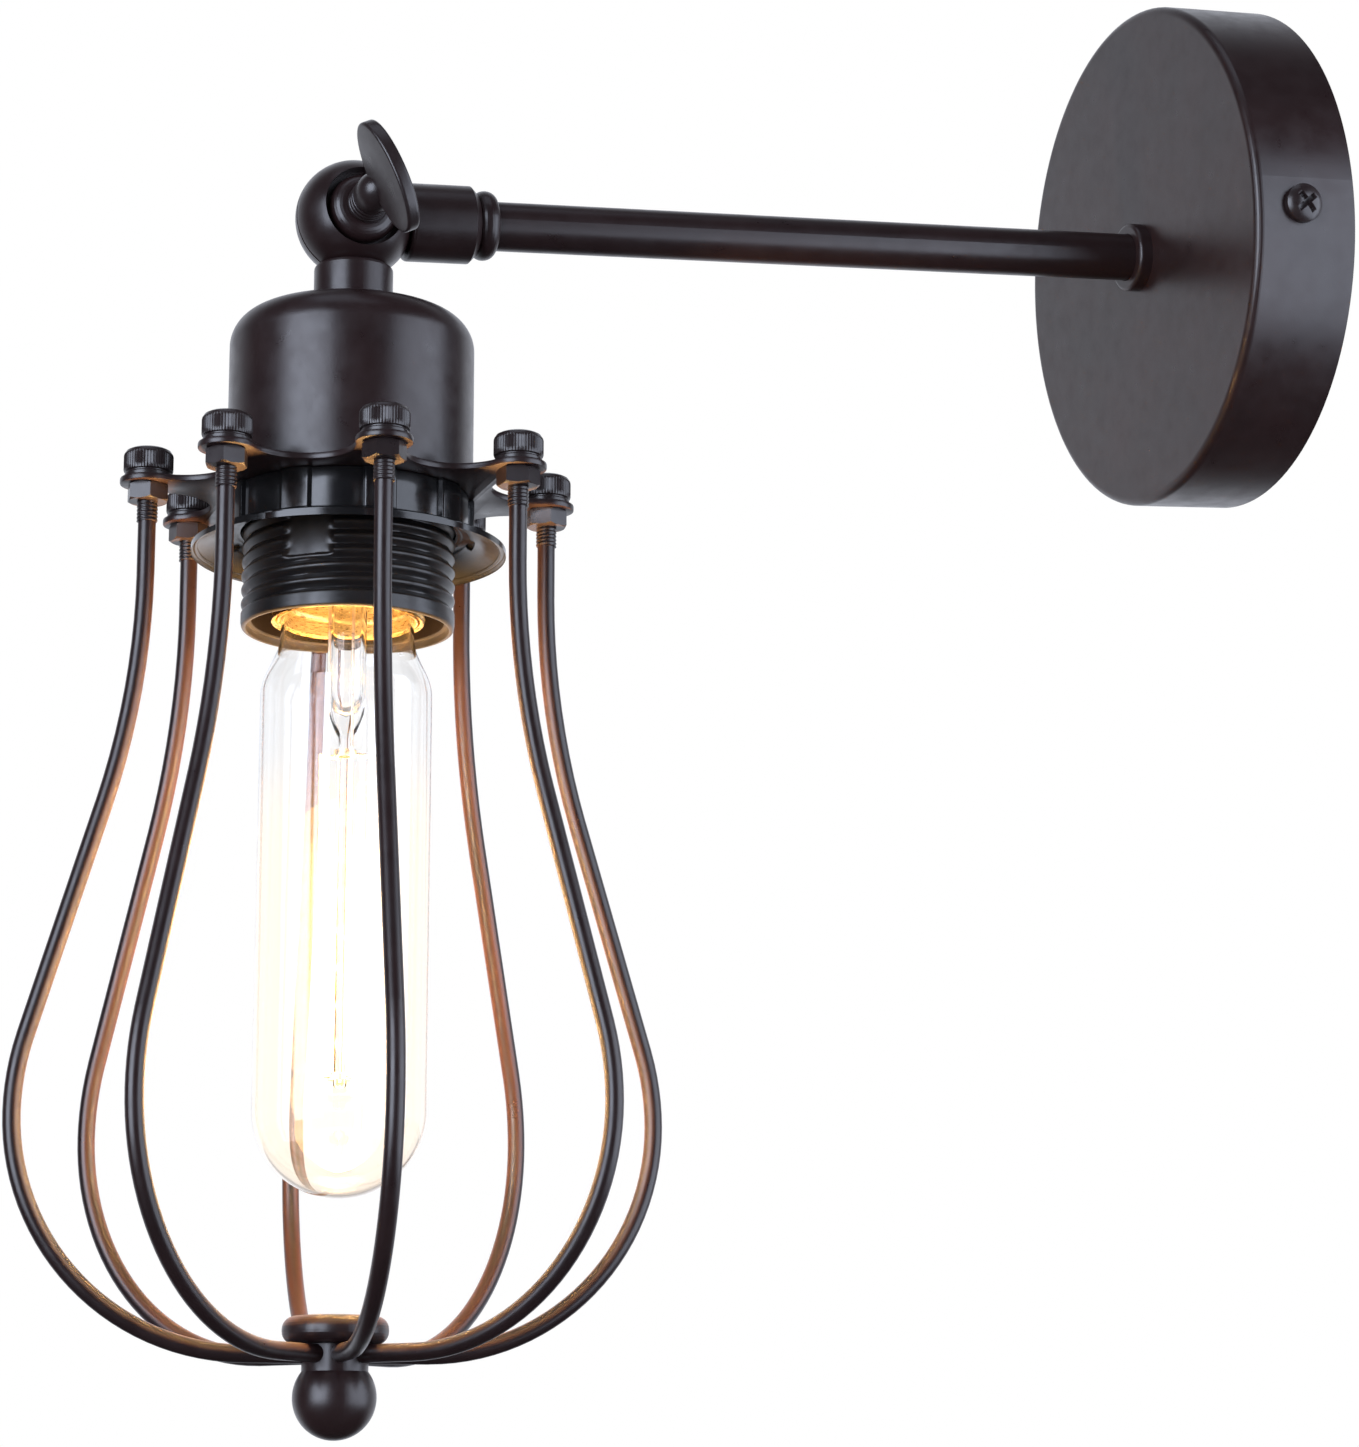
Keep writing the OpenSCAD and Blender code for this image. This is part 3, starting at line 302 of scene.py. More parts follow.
def bare_metal(name, dark, light, roughness, stretch=(1, 1, 1)):
    """Bare plated or rolled metal with fine streaks."""
    material, tree, shader = new_material(name)
    coords = tree.nodes.new("ShaderNodeTexCoord")
    mapping = tree.nodes.new("ShaderNodeMapping")
    mapping.inputs["Scale"].default_value = stretch
    tex = tree.nodes.new("ShaderNodeTexNoise")
    tex.inputs["Scale"].default_value = STREAKS
    tex.inputs["Detail"].default_value = 5
    tree.links.new(coords.outputs["Object"], mapping.inputs["Vector"])
    tree.links.new(mapping.outputs["Vector"], tex.inputs["Vector"])
    tree.links.new(tone(tree, tex.outputs["Fac"], dark, light), shader.inputs["Base Color"])
    uneven_gloss(tree, shader, tex.outputs["Fac"], roughness, 0.07, 0.08)
    bump(tree, shader, tex.outputs["Fac"], 0.15, FINE_BUMP)
    shader.inputs["Metallic"].default_value = 1.0
    return material


def moulded(name, dark, light, roughness, grain=0.08, specular=0.5):
    """Moulded plastic or ceramic with faint flow marks."""
    material, tree, shader = new_material(name)
    tree.links.new(tone(tree, noise(tree, FLOW_MARKS, 3), dark, light, 0.35, 0.65), shader.inputs["Base Color"])
    uneven_gloss(tree, shader, noise(tree, MOULD_GLOSS, 4), roughness, 0.04, 0.05)
    bump(tree, shader, noise(tree, MOULD_GRAIN, 3), grain, FINE_BUMP)
    shader.inputs["Specular IOR Level"].default_value = specular
    return material


def clear_glass(name, dark, light, lit=None):
    """Clear blown glass with a slow waviness. Given a lit colour, a painted glow takes over where the filament
    shines: the glass is tinted warm there and emits light itself.
    """
    material, tree, shader = new_material(name)
    tint = tone(tree, noise(tree, GLASS_TONE, 2), dark, light)
    bump(tree, shader, noise(tree, GLASS_WAVES, 2), 0.12, GLASS_BUMP)
    shader.inputs["Roughness"].default_value = 0.0
    shader.inputs["IOR"].default_value = GLASS_IOR
    shader.inputs["Transmission Weight"].default_value = 1.0
    # Painted glow: a warm tint and emission in the glass, full low on the bulb and fading out towards the neck.
    if lit:
        place = tree.nodes.new("ShaderNodeTexCoord")
        along = tree.nodes.new("ShaderNodeSeparateXYZ")
        tree.links.new(place.outputs["Generated"], along.inputs["Vector"])
        painted_glow_share = map_range(tree, along.outputs["Z"], PAINTED_GLOW_TO, PAINTED_GLOW_FROM, smooth=True)
        mix = tree.nodes.new("ShaderNodeMix")
        mix.data_type = "RGBA"
        tree.links.new(painted_glow_share, mix.inputs["Factor"])
        tree.links.new(tint, mix.inputs["A"])
        mix.inputs["B"].default_value = (*lit, 1)
        tint = mix.outputs["Result"]
        tree.links.new(painted_glow_share, shader.inputs["Emission Strength"])
        shader.inputs["Emission Color"].default_value = (*PAINTED_GLOW_EMISSION, 1)
    tree.links.new(tint, shader.inputs["Base Color"])
    return material


def glowing(name, dark, light, strength):
    """Hot filament: its glow varies a little along its length."""
    material, tree, shader = new_material(name)
    colour = tone(tree, noise(tree, FILAMENT_TONE, 2), dark, light)
    tree.links.new(colour, shader.inputs["Base Color"])
    tree.links.new(colour, shader.inputs["Emission Color"])
    shader.inputs["Roughness"].default_value = 0.5
    shader.inputs["Emission Strength"].default_value = strength
    return material


BRONZE = coated_metal("satin_bronze", (0.0105, 0.0054, 0.0056), (0.0150, 0.0068, 0.0068), 0.32)
BRONZE_NUT = coated_metal("nut_bronze", (0.0110, 0.0075, 0.0078), (0.0160, 0.0098, 0.0098), 0.30, 0.15)
ZINC = bare_metal("zinc_plate", (0.46, 0.47, 0.48), (0.62, 0.63, 0.64), 0.32, (1, 8, 1))
BRASS = bare_metal("turned_brass", (0.55, 0.38, 0.15), (0.74, 0.54, 0.24), 0.30)
SHELL_BRASS = bare_metal("rolled_brass", (0.78, 0.50, 0.17), (0.92, 0.64, 0.26), 0.28, (1, 1, 6))
CAP_BRASS = bare_metal("cap_brass", (0.62, 0.46, 0.22), (0.80, 0.62, 0.34), 0.30, (1, 1, 6))
SOLDER = bare_metal("solder", (0.50, 0.50, 0.50), (0.66, 0.66, 0.65), 0.38)
SUPPORT = bare_metal("support_wire", (0.42, 0.36, 0.30), (0.60, 0.52, 0.44), 0.30)
GREEN = coated_metal("green_lacquer", (0.02, 0.13, 0.05), (0.03, 0.19, 0.08), 0.35)
BAKELITE = moulded("black_moulding", (0.0045, 0.0045, 0.0050), (0.0070, 0.0066, 0.0068), 0.18)
SKIRT_BLACK = moulded("skirt_moulding", (0.0050, 0.0044, 0.0046), (0.0075, 0.0064, 0.0064), 0.32)
# Darker, nearly unreflective copy of the skirt's moulding: painted shade for the skirt's inside.
SKIRT_PAINTED_SHADE = moulded("skirt_painted_shade", (0.0032, 0.0020, 0.0020), (0.0045, 0.0030, 0.0030), 0.6, specular=0.08)
CERAMIC = moulded("glazed_ceramic", (0.72, 0.69, 0.63), (0.82, 0.79, 0.74), 0.25)
WHITE_PLASTIC = moulded("white_moulding", (0.72, 0.72, 0.70), (0.80, 0.80, 0.78), 0.45)
FIBRE = moulded("red_fibre", (0.20, 0.075, 0.04), (0.30, 0.12, 0.065), 0.7, 0.3)
CAP_GLASS = moulded("black_glass", (0.010, 0.008, 0.014), (0.018, 0.014, 0.022), 0.08)
# The bulb glass carries a painted glow. Its last colour is the warm tint painted where the filament shines.
GLASS = clear_glass("bulb_glass", (0.975, 0.978, 0.985), (0.990, 0.992, 0.998), (1.0, 0.958, 0.905))
STEM_GLASS = clear_glass("stem_glass", (0.96, 0.96, 0.95), (1.0, 1.0, 1.0))
FILAMENT = glowing("filament_glow", (1.0, 0.52, 0.17), (1.0, 0.68, 0.32), 60.0)

SLOT_MATERIAL = {
    "bronze": BRONZE, "bronze_nut": BRONZE_NUT, "zinc_steel": ZINC, "green_screw": GREEN, "brass": BRASS,
    "shell_brass": SHELL_BRASS, "cap_brass": CAP_BRASS, "white_plastic": WHITE_PLASTIC, "fibre": FIBRE,
    "bakelite": BAKELITE, "ceramic": CERAMIC, "cap_glass": CAP_GLASS, "solder": SOLDER, "bulb_glass": GLASS,
    "stem_glass": STEM_GLASS, "support_wire": SUPPORT, "filament": FILAMENT,
}
for part in frame["record"]["subparts"]:
    node = frame["nodes"][part["node"]]
    node.data.materials.clear()
    node.data.materials.append(SLOT_MATERIAL[part["material_slot"]])


# ---------- Cage plate ----------

PLATE_HOLE_R = 19.95
BOLT_HOLE_R = 1.85
LOBE_R = 5.2
WAIST_R = 27.3
PLATE_EDGE = 0.25
# Points along one lobe and along one scallop
LOBE_STEPS = 40


def plate_outline():
    """Round lobes joined by hollow scallops that run smoothly into them, as points and outward normals."""
    half = math.pi / WIRES
    inset = WAIST_R - LOBE_R
    scallop_x = (BOLT_R ** 2 - inset ** 2) / (2 * (BOLT_R * math.cos(half) - inset))
    scallop_r = scallop_x - WAIST_R
    meet = math.atan2(scallop_x * math.sin(half), scallop_x * math.cos(half) - BOLT_R)
    points = []
    for i in range(WIRES):
        turn = math.radians(FIRST_WIRE) + 2 * half * i
        x, y = BOLT_R * math.cos(turn), BOLT_R * math.sin(turn)
        for k in range(LOBE_STEPS + 1):
            a = turn - meet + 2 * meet * k / LOBE_STEPS
            cos, sin = math.cos(a), math.sin(a)
            points.append((x + LOBE_R * cos, y + LOBE_R * sin, cos, sin))
        middle = turn + half
        x, y = scallop_x * math.cos(middle), scallop_x * math.sin(middle)
        for k in range(1, LOBE_STEPS):
            a = turn + meet + math.pi + (2 * half - 2 * meet) * k / LOBE_STEPS
            cos, sin = math.cos(a), math.sin(a)
            points.append((x + scallop_r * cos, y + scallop_r * sin, -cos, -sin))
    return points


def plate():
    """Thin sheet with broken edges, a middle hole and a hole for each wire."""
    holes = [(0, 0, PLATE_HOLE_R, 128)]
    holes += [(*place.to_translation()[:2], BOLT_HOLE_R, 32) for place in wire_places()]
    loops = [plate_outline()]
    for x, y, r, steps in holes:
        turns = [2 * math.pi * k / steps for k in range(steps)]
        loops.append([(x + r * math.cos(a), y + r * math.sin(a), -math.cos(a), -math.sin(a)) for a in turns])
    bottom, top = -PLATE_LOW, -PLATE_TOP
    levels = [(bottom, PLATE_EDGE), (bottom + 0.07, PLATE_EDGE * 0.3), (bottom + PLATE_EDGE, 0),
              (top - PLATE_EDGE, 0), (top - 0.07, PLATE_EDGE * 0.3), (top, PLATE_EDGE)]
    verts, faces, caps = [], [], {bottom: [], top: []}
    for loop in loops:
        base = len(verts)
        for z, inset in levels:
            if z in caps:
                caps[z].append(list(range(len(verts), len(verts) + len(loop))))
            verts += [(x - nx * inset, y - ny * inset, z) for x, y, nx, ny in loop]
        faces += band_faces(base, len(loop), len(levels))
    for rings in caps.values():
        order = [i for ring in rings for i in ring]
        for triangle in tessellate_polygon([[Vector(verts[i]) for i in ring] for ring in rings]):
            faces.append([order[i] for i in triangle])
    return verts, faces


piece("cage_plate_pressed", *plate(), HEAD, "head", BRONZE, "bronze", ["cage_plate"], 40)

# ---------- Cap nuts and threads of the cage ----------

CAP_NUT_R = 4.6
CAP_NUT_H = 6
# Height of the knurled band's upper edge and radius of its rounding
NUT_BAND_TOP = 4.2
NUT_ROUNDING = 0.9
KNURLS = 52
KNURL_DEPTH = 0.12
WIRE_THREAD_R = 1.95
WIRE_THREAD_ROOT = 1.82
WIRE_THREAD_PITCH = 0.7
WIRE_THREAD_DEPTH = 0.12
THREAD_TOP = 58.5
THREAD_LOW = 62.3


def knurled(radius, height, angle):
    if radius < CAP_NUT_R - 0.2 or not 1.5 < height < NUT_BAND_TOP + 0.4:
        return radius
    return radius - KNURL_DEPTH * (0.5 + 0.5 * math.cos(KNURLS * angle))


def cap_nut():
    r, z = CAP_NUT_R, NUT_BAND_TOP
    profile = [(WIRE_THREAD_R, 0), (r - 0.42, 0)] + arc(r - 0.42, 0.2, 0.2, -90, 0, 4) + [(r - 0.22, 0.7)]
    profile += arc(r - 0.37, 0.7, 0.15, 0, 90, 3) + [(r - 0.5, 0.95), (r - 0.5, 1.15), (r - 0.1, 1.3)]
    profile += [(r, height) for height in (1.6, 2.2, 2.8, 3.4, 4.0)]
    profile += arc(r - NUT_ROUNDING, z, NUT_ROUNDING, 0, 45, 3)
    shoulder_r, shoulder_z = profile[-1]
    profile += oval(0, shoulder_z, shoulder_r, CAP_NUT_H - shoulder_z, (18, 36, 54, 72))
    profile += [(0, CAP_NUT_H), (0, z), (WIRE_THREAD_R, z)]
    return revolve(profile, 208, True, knurled)


on_plate = Matrix.Translation((0, 0, -PLATE_TOP))
piece("cap_nuts_knurled", *joined([moved(cap_nut(), place @ on_plate) for place in wire_places()]),
      HEAD, "head", BRONZE_NUT, "bronze_nut", ["cap_nuts"], 30)


def thread_sleeve():
    low, high = -THREAD_LOW + 0.02, -THREAD_TOP - 0.02
    profile = [(WIRE_THREAD_ROOT, low)] + [(WIRE_THREAD_R, z) for z in rows(low, high, 0.1)]
    profile += [(WIRE_THREAD_ROOT, high)]
    thread = ridged(WIRE_THREAD_PITCH, WIRE_THREAD_DEPTH, low - 0.4, high + 0.4, 0.2)
    return revolve(profile, 24, True, thread)


piece("wire_thread_ends", *joined([moved(thread_sleeve(), place) for place in wire_places()]),
      HEAD, "head", BRONZE_NUT, "bronze_nut", (), 60)

# ---------- Socket cup and the nut in it ----------

CUP_R = 23.1
CUP_WALL = 0.7
CUP_SHOULDER = 6.5
CUP_DECK = 19.8
NECK_R = 7.5
NECK_LOW = 16.7
NUT_TOP = 17.7
NUT_H = 2.6
NUT_R = 6.9
BORE_R = 4.85

shoulder_x, shoulder_z = CUP_R - CUP_SHOULDER, -CUP_DECK - CUP_SHOULDER
nut_room = NUT_R + 0.15
cup_profile = [(CUP_R - CUP_WALL, -PLATE_TOP)] + arc(CUP_R - 0.2, -PLATE_TOP + 0.2, 0.2, -90, 0, 3)
cup_profile += [(CUP_R, z) for z in rows(-PLATE_TOP + 3, shoulder_z - 2, 4)]
cup_profile += arc(shoulder_x, shoulder_z, CUP_SHOULDER, 0, 90, 20)
cup_profile += from_height(-CUP_DECK, (12, 0), (NECK_R + 0.25, 0), (NECK_R, 0.2))
cup_profile += [(NECK_R, -NECK_LOW), (BORE_R, -NECK_LOW)]
cup_profile += [(BORE_R, -NUT_TOP), (nut_room, -NUT_TOP), (nut_room, -CUP_DECK - CUP_WALL)]
cup_profile += arc(shoulder_x, shoulder_z, CUP_SHOULDER - CUP_WALL, 90, 0, 20)
piece("cup_spun", *revolve(cup_profile, 160), HEAD, "head", BRONZE, "bronze", ["socket_cup"], 40)


def six_sided(radius, height, angle):
    if radius < BORE_R + 0.5:
        return radius
    return radius * math.cos(math.pi / 6) / math.cos((angle % (math.pi / 3)) - math.pi / 6)


nut_profile = from_height(-NUT_TOP - NUT_H, (BORE_R, 0), (NUT_R - 0.3, 0), (NUT_R, 0.3))
nut_profile += from_height(-NUT_TOP, (NUT_R, -0.3), (NUT_R - 0.3, 0), (BORE_R, 0))
piece("cup_nut", *revolve(nut_profile, 72, True, six_sided), HEAD, "head", BRASS, "brass", ["nipple_nut"], 30)

# ---------- Wing screw ----------

WING_TURN = 22
WING_MIDDLE = 24.9
WING_HALF_L = 11
WING_HALF_W = 6.9
WING_STEPS = 120
# Half thickness of the wing at each level and how far the outline is drawn in there
WING_EDGE = [(1.3, 0.6), (1.27, 0.35), (1.15, 0.14), (0.95, 0.02), (0.6, 0)]
SHANK_R = 2.5
SHANK_END = -8
BOSS_START = 9.2
BOSS_R = 3.8
BOSS_RING = 1.35
BOSS_RINGS = 3
BOSS_DOME = 4.6

boss_profile = from_height(SHANK_END, (0, 0), (2.2, 0), (SHANK_R, 0.4)) + [(SHANK_R, BOSS_START)]
for low in (BOSS_START + BOSS_RING * i for i in range(BOSS_RINGS)):
    boss_profile += arc(BOSS_R - 0.3, low + 0.3, 0.3, -90, 0, 4) + arc(BOSS_R - 0.3, low + 0.75, 0.3, 0, 90, 4)
    boss_profile += from_height(low, (BOSS_R - 0.55, 1.1), (BOSS_R - 0.55, 1.3))
boss_profile += arc(BOSS_R - 0.3, BOSS_START + 4.35, 0.3, -90, 0, 4)
boss_profile += oval(0, BOSS_START + 6.6, BOSS_R, BOSS_DOME, range(0, 90, 10))
boss_profile += [(0, BOSS_START + 6.6 + BOSS_DOME)]
along_pin = Matrix.Rotation(math.radians(90), 4, "Y")


def wing():
    """Flat oval with softly broken edges."""
    levels = [(-y, inset) for y, inset in WING_EDGE] + WING_EDGE[::-1]
    verts = []
    for y, inset in levels:
        for k in range(WING_STEPS):
            angle = 2 * math.pi * k / WING_STEPS
            out = WING_MIDDLE + (WING_HALF_W - inset) * math.cos(angle)
            verts.append((out, y, (WING_HALF_L - inset) * math.sin(angle)))
    faces = band_faces(0, WING_STEPS, len(levels))
    faces.append(list(range(WING_STEPS)))
    faces.append([(len(levels) - 1) * WING_STEPS + k for k in range(WING_STEPS)][::-1])
    return verts, faces


screw_form = joined([moved(revolve(boss_profile, 72, False), along_pin), wing()])
pin_place = Matrix.Translation(PIN) @ Matrix.Rotation(math.radians(WING_TURN), 4, "X")
piece("wing_screw", *screw_form, pin_place, "thumb_screw", BRONZE_NUT, "bronze", ["thumb_screw"], 32)

# ---------- Lamp holder ----------

SKIRT_R = 19.9
SKIRT_PITCH = 2.7
SKIRT_THREAD_DEPTH = 0.95
INNER_R = SKIRT_R - 2
LIP_R = SKIRT_R - 1.0
LEDGE_R = 14.9
LEDGE_H = 2
# Smooth patch in the ring thread: its middle and half width in degrees, and its lower edge
PATCH_AZIMUTH = -37
PATCH_HALF = 15
PATCH_LOW = -71.5
RING_TOP = 55.3
RING_LOW = 65.8


def skirt_shape(radius, height, angle):
    """Ring thread with a smooth patch, ending above the mouth's plain band."""
    if radius < SKIRT_R - 1.5:
        return radius
    above_band = clamp((height + MOUTH - 2.6) / 0.8)
    wave = 0.5 + 0.5 * math.cos(2 * math.pi * height / SKIRT_PITCH - angle)
    wave = wave ** 0.75
    off = abs((math.degrees(angle) - PATCH_AZIMUTH + 180) % 360 - 180)
    flat = clamp((PATCH_HALF - off) / 2.5) * clamp((height - PATCH_LOW) / 0.8)
    return radius - SKIRT_THREAD_DEPTH * (1 - wave * (1 - flat)) * above_band


skirt_profile = from_height(
    -MOUTH, (INNER_R, 1.5), (INNER_R + 0.15, 1.3), (LIP_R - 0.1, 1.3), (LIP_R, 1.1), (LIP_R, 0.2))
skirt_profile += arc(LIP_R + 0.2, -MOUTH + 0.2, 0.2, 180, 270, 3)
skirt_profile += arc(SKIRT_R - 0.7, -MOUTH + 0.6, 0.6, -90, 0, 6)
skirt_profile += [(SKIRT_R, z) for z in rows(-MOUTH + 1.1, -RING_LOW + 4.0, 0.18)]
skirt_profile += [(SKIRT_R, z) for z in rows(-RING_LOW + 4.3, -CAP_LOW, 0.45)]
skirt_profile += [(INNER_R, -CAP_LOW)]
skirt_profile += from_height(-SHELL_TOP, (INNER_R, 0), (LEDGE_R, 0), (LEDGE_R, -LEDGE_H), (INNER_R, -LEDGE_H))
piece("skirt_threaded", *revolve(skirt_profile, 180, True, skirt_shape),
      HEAD, "head", SKIRT_BLACK, "bakelite", ["holder_skirt"], 38)

# A darker matt sheet just inside the skirt's inner wall: painted shade over the inside of the skirt
wall_low, wall_high = -MOUTH + 1.5, -SHELL_TOP - LEDGE_H - 0.2
shade_lining_profile = [(INNER_R - 0.05, wall_low), (INNER_R + 0.1, wall_low)]
shade_lining_profile += [(INNER_R + 0.1, wall_high), (INNER_R - 0.05, wall_high)]
piece("skirt_painted_shade_lining", *revolve(shade_lining_profile, 128), HEAD, "head", SKIRT_PAINTED_SHADE, "bakelite", (), 40)


def shell_shape(radius, height, angle):
    """Rolled thread of the screw shell."""
    if radius < 13 or height < -SHELL_LOW + 0.9 or height > -SHELL_TOP - 1.5:
        return radius
    return radius + 0.35 + 0.35 * math.cos(2 * math.pi * height / SHELL_PITCH - angle)


shell_rows = rows(-SHELL_LOW + 0.9, -SHELL_TOP - 1.5, 0.3)
shell_profile = [(13.25, z) for z in reversed(shell_rows)]
shell_profile += from_height(-SHELL_LOW, (13.5, 0.5), (14.05, 0.1), (14.2, 0.2), (14.05, 0.55))
shell_profile += [(13.75, z) for z in shell_rows]
shell_profile += from_height(-SHELL_TOP, (13.8, 0), (10.2, 0), (10.2, -0.6), (13.2, -0.6))
piece("shell_rolled", *revolve(shell_profile, 120, True, shell_shape),
      HEAD, "head", SHELL_BRASS, "shell_brass", ["screw_shell"], 40)

# ---------- Shade ring ----------

RIM_R = 29.4
GRIP_R = 22.5
PAD_H = 0.9
PADS = 9
PAD_HALF = math.asin(3.3 / (GRIP_R + PAD_H))


def pad_shape(radius, height, angle):
    """Raised grip pads round the ring."""
    if not (GRIP_R - 0.4 < radius < GRIP_R + 0.6 and height > -RING_TOP - 8.3):
        return radius
    off = abs((angle + math.pi / PADS) % (2 * math.pi / PADS) - math.pi / PADS)
    rise = clamp((PAD_HALF - off) / 0.018)
    return radius + PAD_H * rise * rise * (3 - 2 * rise)


ring_profile = from_height(
    -RING_TOP, (20.0, 0), (GRIP_R - 0.3, 0), (GRIP_R - 0.1, -0.12), (GRIP_R, -0.5), (GRIP_R, -3), (GRIP_R, -6),
    (GRIP_R, -7.6), (GRIP_R + 0.3, -8.0), (GRIP_R + 1.1, -8.35), (26, -9.3), (28.6, -10.2))
ring_profile += arc(RIM_R - 0.7, -RING_TOP - 11.1, 0.7, 70, 0, 5)
ring_profile += arc(RIM_R - 0.5, -RING_LOW + 0.5, 0.5, 0, -90, 4)
ring_profile += arc(RIM_R - 0.9, -RING_LOW + 0.4, 0.4, -90, -180, 3)
ring_profile += from_height(
    -RING_LOW, (28.1, 1.1), (27.4, 1.5), (21.6, 3.4), (21.1, 3.3), (20.3, 3.3), (20.0, 3.6))
piece("shade_ring_moulded", *revolve(ring_profile, 540, True, pad_shape),
      HEAD, "head", BAKELITE, "bakelite", ["shade_ring"], 30)

# ---------- Bulb ----------

GLASS_NECK_R = 12.45
GLASS_R = 15.9
GLASS_WALL = 0.6
GLASS_TOP = 71.3
GLASS_SWELL = 11
DOME = 170.4
CAP_RIM = 79.3
CAP_SHOULDER = 60.3
STEM_LOW = 101.3
FILAMENT_TOP = 104.3
FILAMENT_LOW = 164.3
FILAMENT_R = 4.8
STRANDS = 6


def smooth_step(t):
    return (1 - math.cos(math.pi * t)) / 2


def glass_side(inset):
    """Half section of the glass, from its neck to its round end."""
    neck_low = CAP_RIM + 3
    neck_r = GLASS_NECK_R - inset
    points = [(neck_r, -GLASS_TOP), (neck_r, -78), (neck_r, -neck_low + 0.6)]
    for i in range(21):
        swell = (GLASS_R - GLASS_NECK_R) * smooth_step(i / 20)
        points.append((neck_r + swell, -neck_low - GLASS_SWELL * i / 20))
    points += [(GLASS_R - inset, z) for z in rows(-DOME, -neck_low - GLASS_SWELL - 3, 8)[::-1]]
    return points + arc(0, -DOME, GLASS_R - inset, 0, -90, 24)[1:-1] + [(0, -DOME - GLASS_R + inset)]


glass = piece("bulb_glass_clear", *revolve(glass_side(0) + glass_side(GLASS_WALL)[::-1], 128),
              HEAD, "bulb", GLASS, "bulb_glass", ["bulb_glass"], 50)
glass.visible_shadow = False


def cap_shape(radius, height, angle):
    """Rolled thread of the bulb's cap."""
    if radius < 12.4 or not -CAP_RIM + 1.6 < height < -CAP_SHOULDER - 1.0:
        return radius
    ends = min(1, (height + CAP_RIM - 1.6) / 1.2, (-CAP_SHOULDER - 1.0 - height) / 1.2)
    return radius - ends * (0.35 - 0.35 * math.cos(2 * math.pi * height / SHELL_PITCH - angle))


cap_profile = from_height(-CAP_RIM, (13.0, 0), (13.1, 0.1))
cap_profile += [(13.08, z) for z in rows(-CAP_RIM + 0.3, -CAP_SHOULDER - 0.4, 0.3)]
cap_profile += from_height(-CAP_SHOULDER, (12.7, 0), (8.5, 1.4), (8.1, 1.4), (8.1, 1.2), (12.55, -0.35))
cap_profile += [(12.75, -70), (12.75, -CAP_RIM + 0.1)]
piece("bulb_cap_rolled", *revolve(cap_profile, 120, True, cap_shape),
      HEAD, "bulb", CAP_BRASS, "cap_brass", ["bulb_cap"], 40)

stem_profile = from_height(
    -GLASS_TOP, (2.6, 1), (GLASS_NECK_R, 1), (GLASS_NECK_R, 0.02), (GLASS_NECK_R - 1.2, 0), (5.6, -0.3),
    (4.1, -1.6), (3.6, -4))
stem_profile += from_height(-STEM_LOW, (3.6, 8), (3.3, 4.5), (2.1, 1.4), (1.3, 0), (1.2, -2))
stem_profile += from_height(-FILAMENT_LOW, (1.2, -1.6), (0.8, -2), (0, -2))
stem_profile += from_height(-STEM_LOW, (0, 4), (1.6, 5), (2.6, 8))
stem = piece("bulb_stem_glass", *revolve(stem_profile, 48),
             HEAD, "bulb", STEM_GLASS, "stem_glass", ["bulb_stem"], 50)
stem.visible_shadow = False


def around(radius, turn, height):
    angle = math.radians(turn)
    return (radius * math.cos(angle), radius * math.sin(angle), height)


# The filament runs up and down between the two rings of supports, drawn in a little midway.
STRAND_STEPS = 24
STRAND_BOW = 0.35
strand_turn = 360 / STRANDS
ordered = []
for k in range(STRANDS):
    ends = [(k * strand_turn, -FILAMENT_TOP), (k * strand_turn, -FILAMENT_LOW)]
    ordered += ends if k % 2 == 0 else ends[::-1]
filament_path = []
for (turn_a, z_a), (turn_b, z_b) in zip(ordered, ordered[1:]):
    bow = STRAND_BOW if z_a != z_b else 0
    for i in range(STRAND_STEPS):
        t = i / STRAND_STEPS
        reach = FILAMENT_R - bow * math.sin(math.pi * t)
        filament_path.append(around(reach, turn_a + (turn_b - turn_a) * t, z_a + (z_b - z_a) * t))
filament_path.append(around(FILAMENT_R, *ordered[-1]))
filament_obj = piece("filament_strand", *tube(filament_path, 0.2, 10),
                     HEAD, "bulb", FILAMENT, "filament", ["filament"], 60)
filament_obj.visible_shadow = False

support_parts = []
hook_reach = FILAMENT_R * math.cos(math.radians(strand_turn / 2)) - 0.3
for high, offset in ((-FILAMENT_TOP, 1), (-FILAMENT_LOW, 0)):
    support_parts.append(revolve(from_height(high, (1.35, -0.6), (2.1, -0.6), (2.1, 0.6), (1.35, 0.6)), 32))
    for k in range(offset, STRANDS - offset, 2):
        turn = (k + 0.5) * strand_turn
        hook = [around(1.9, turn, high), around(hook_reach - 0.6, turn, high),
                around(hook_reach, turn, high + 0.05)]
        support_parts.append(tube(hook, 0.28, 12))
for turn in (0, (STRANDS - 1) * strand_turn):
    lead = [around(FILAMENT_R, turn, -FILAMENT_TOP + 0.25), around(FILAMENT_R, turn, -STEM_LOW + 2),
            around(FILAMENT_R - 0.4, turn, -STEM_LOW + 8), around(FILAMENT_R - 0.2, turn, -GLASS_TOP - 2.4)]
    support_parts.append(tube(lead, 0.3, 12))
piece("support_wires", *joined(support_parts),
      HEAD, "bulb", SUPPORT, "support_wire", ["filament_supports"], 50)

# ---------- Side screws of the canopy ----------

SIDE_SCREW_OUT = 11.6
SIDE_SCREW_TURN = -6
SIDE_HEAD_R = 3.8
SIDE_HEAD_H = 2.4
CROSS_HALF_L = 2.1
CROSS_HALF_W = 0.52
CROSS_DEPTH = 1.55
CROSS_TURN = 38


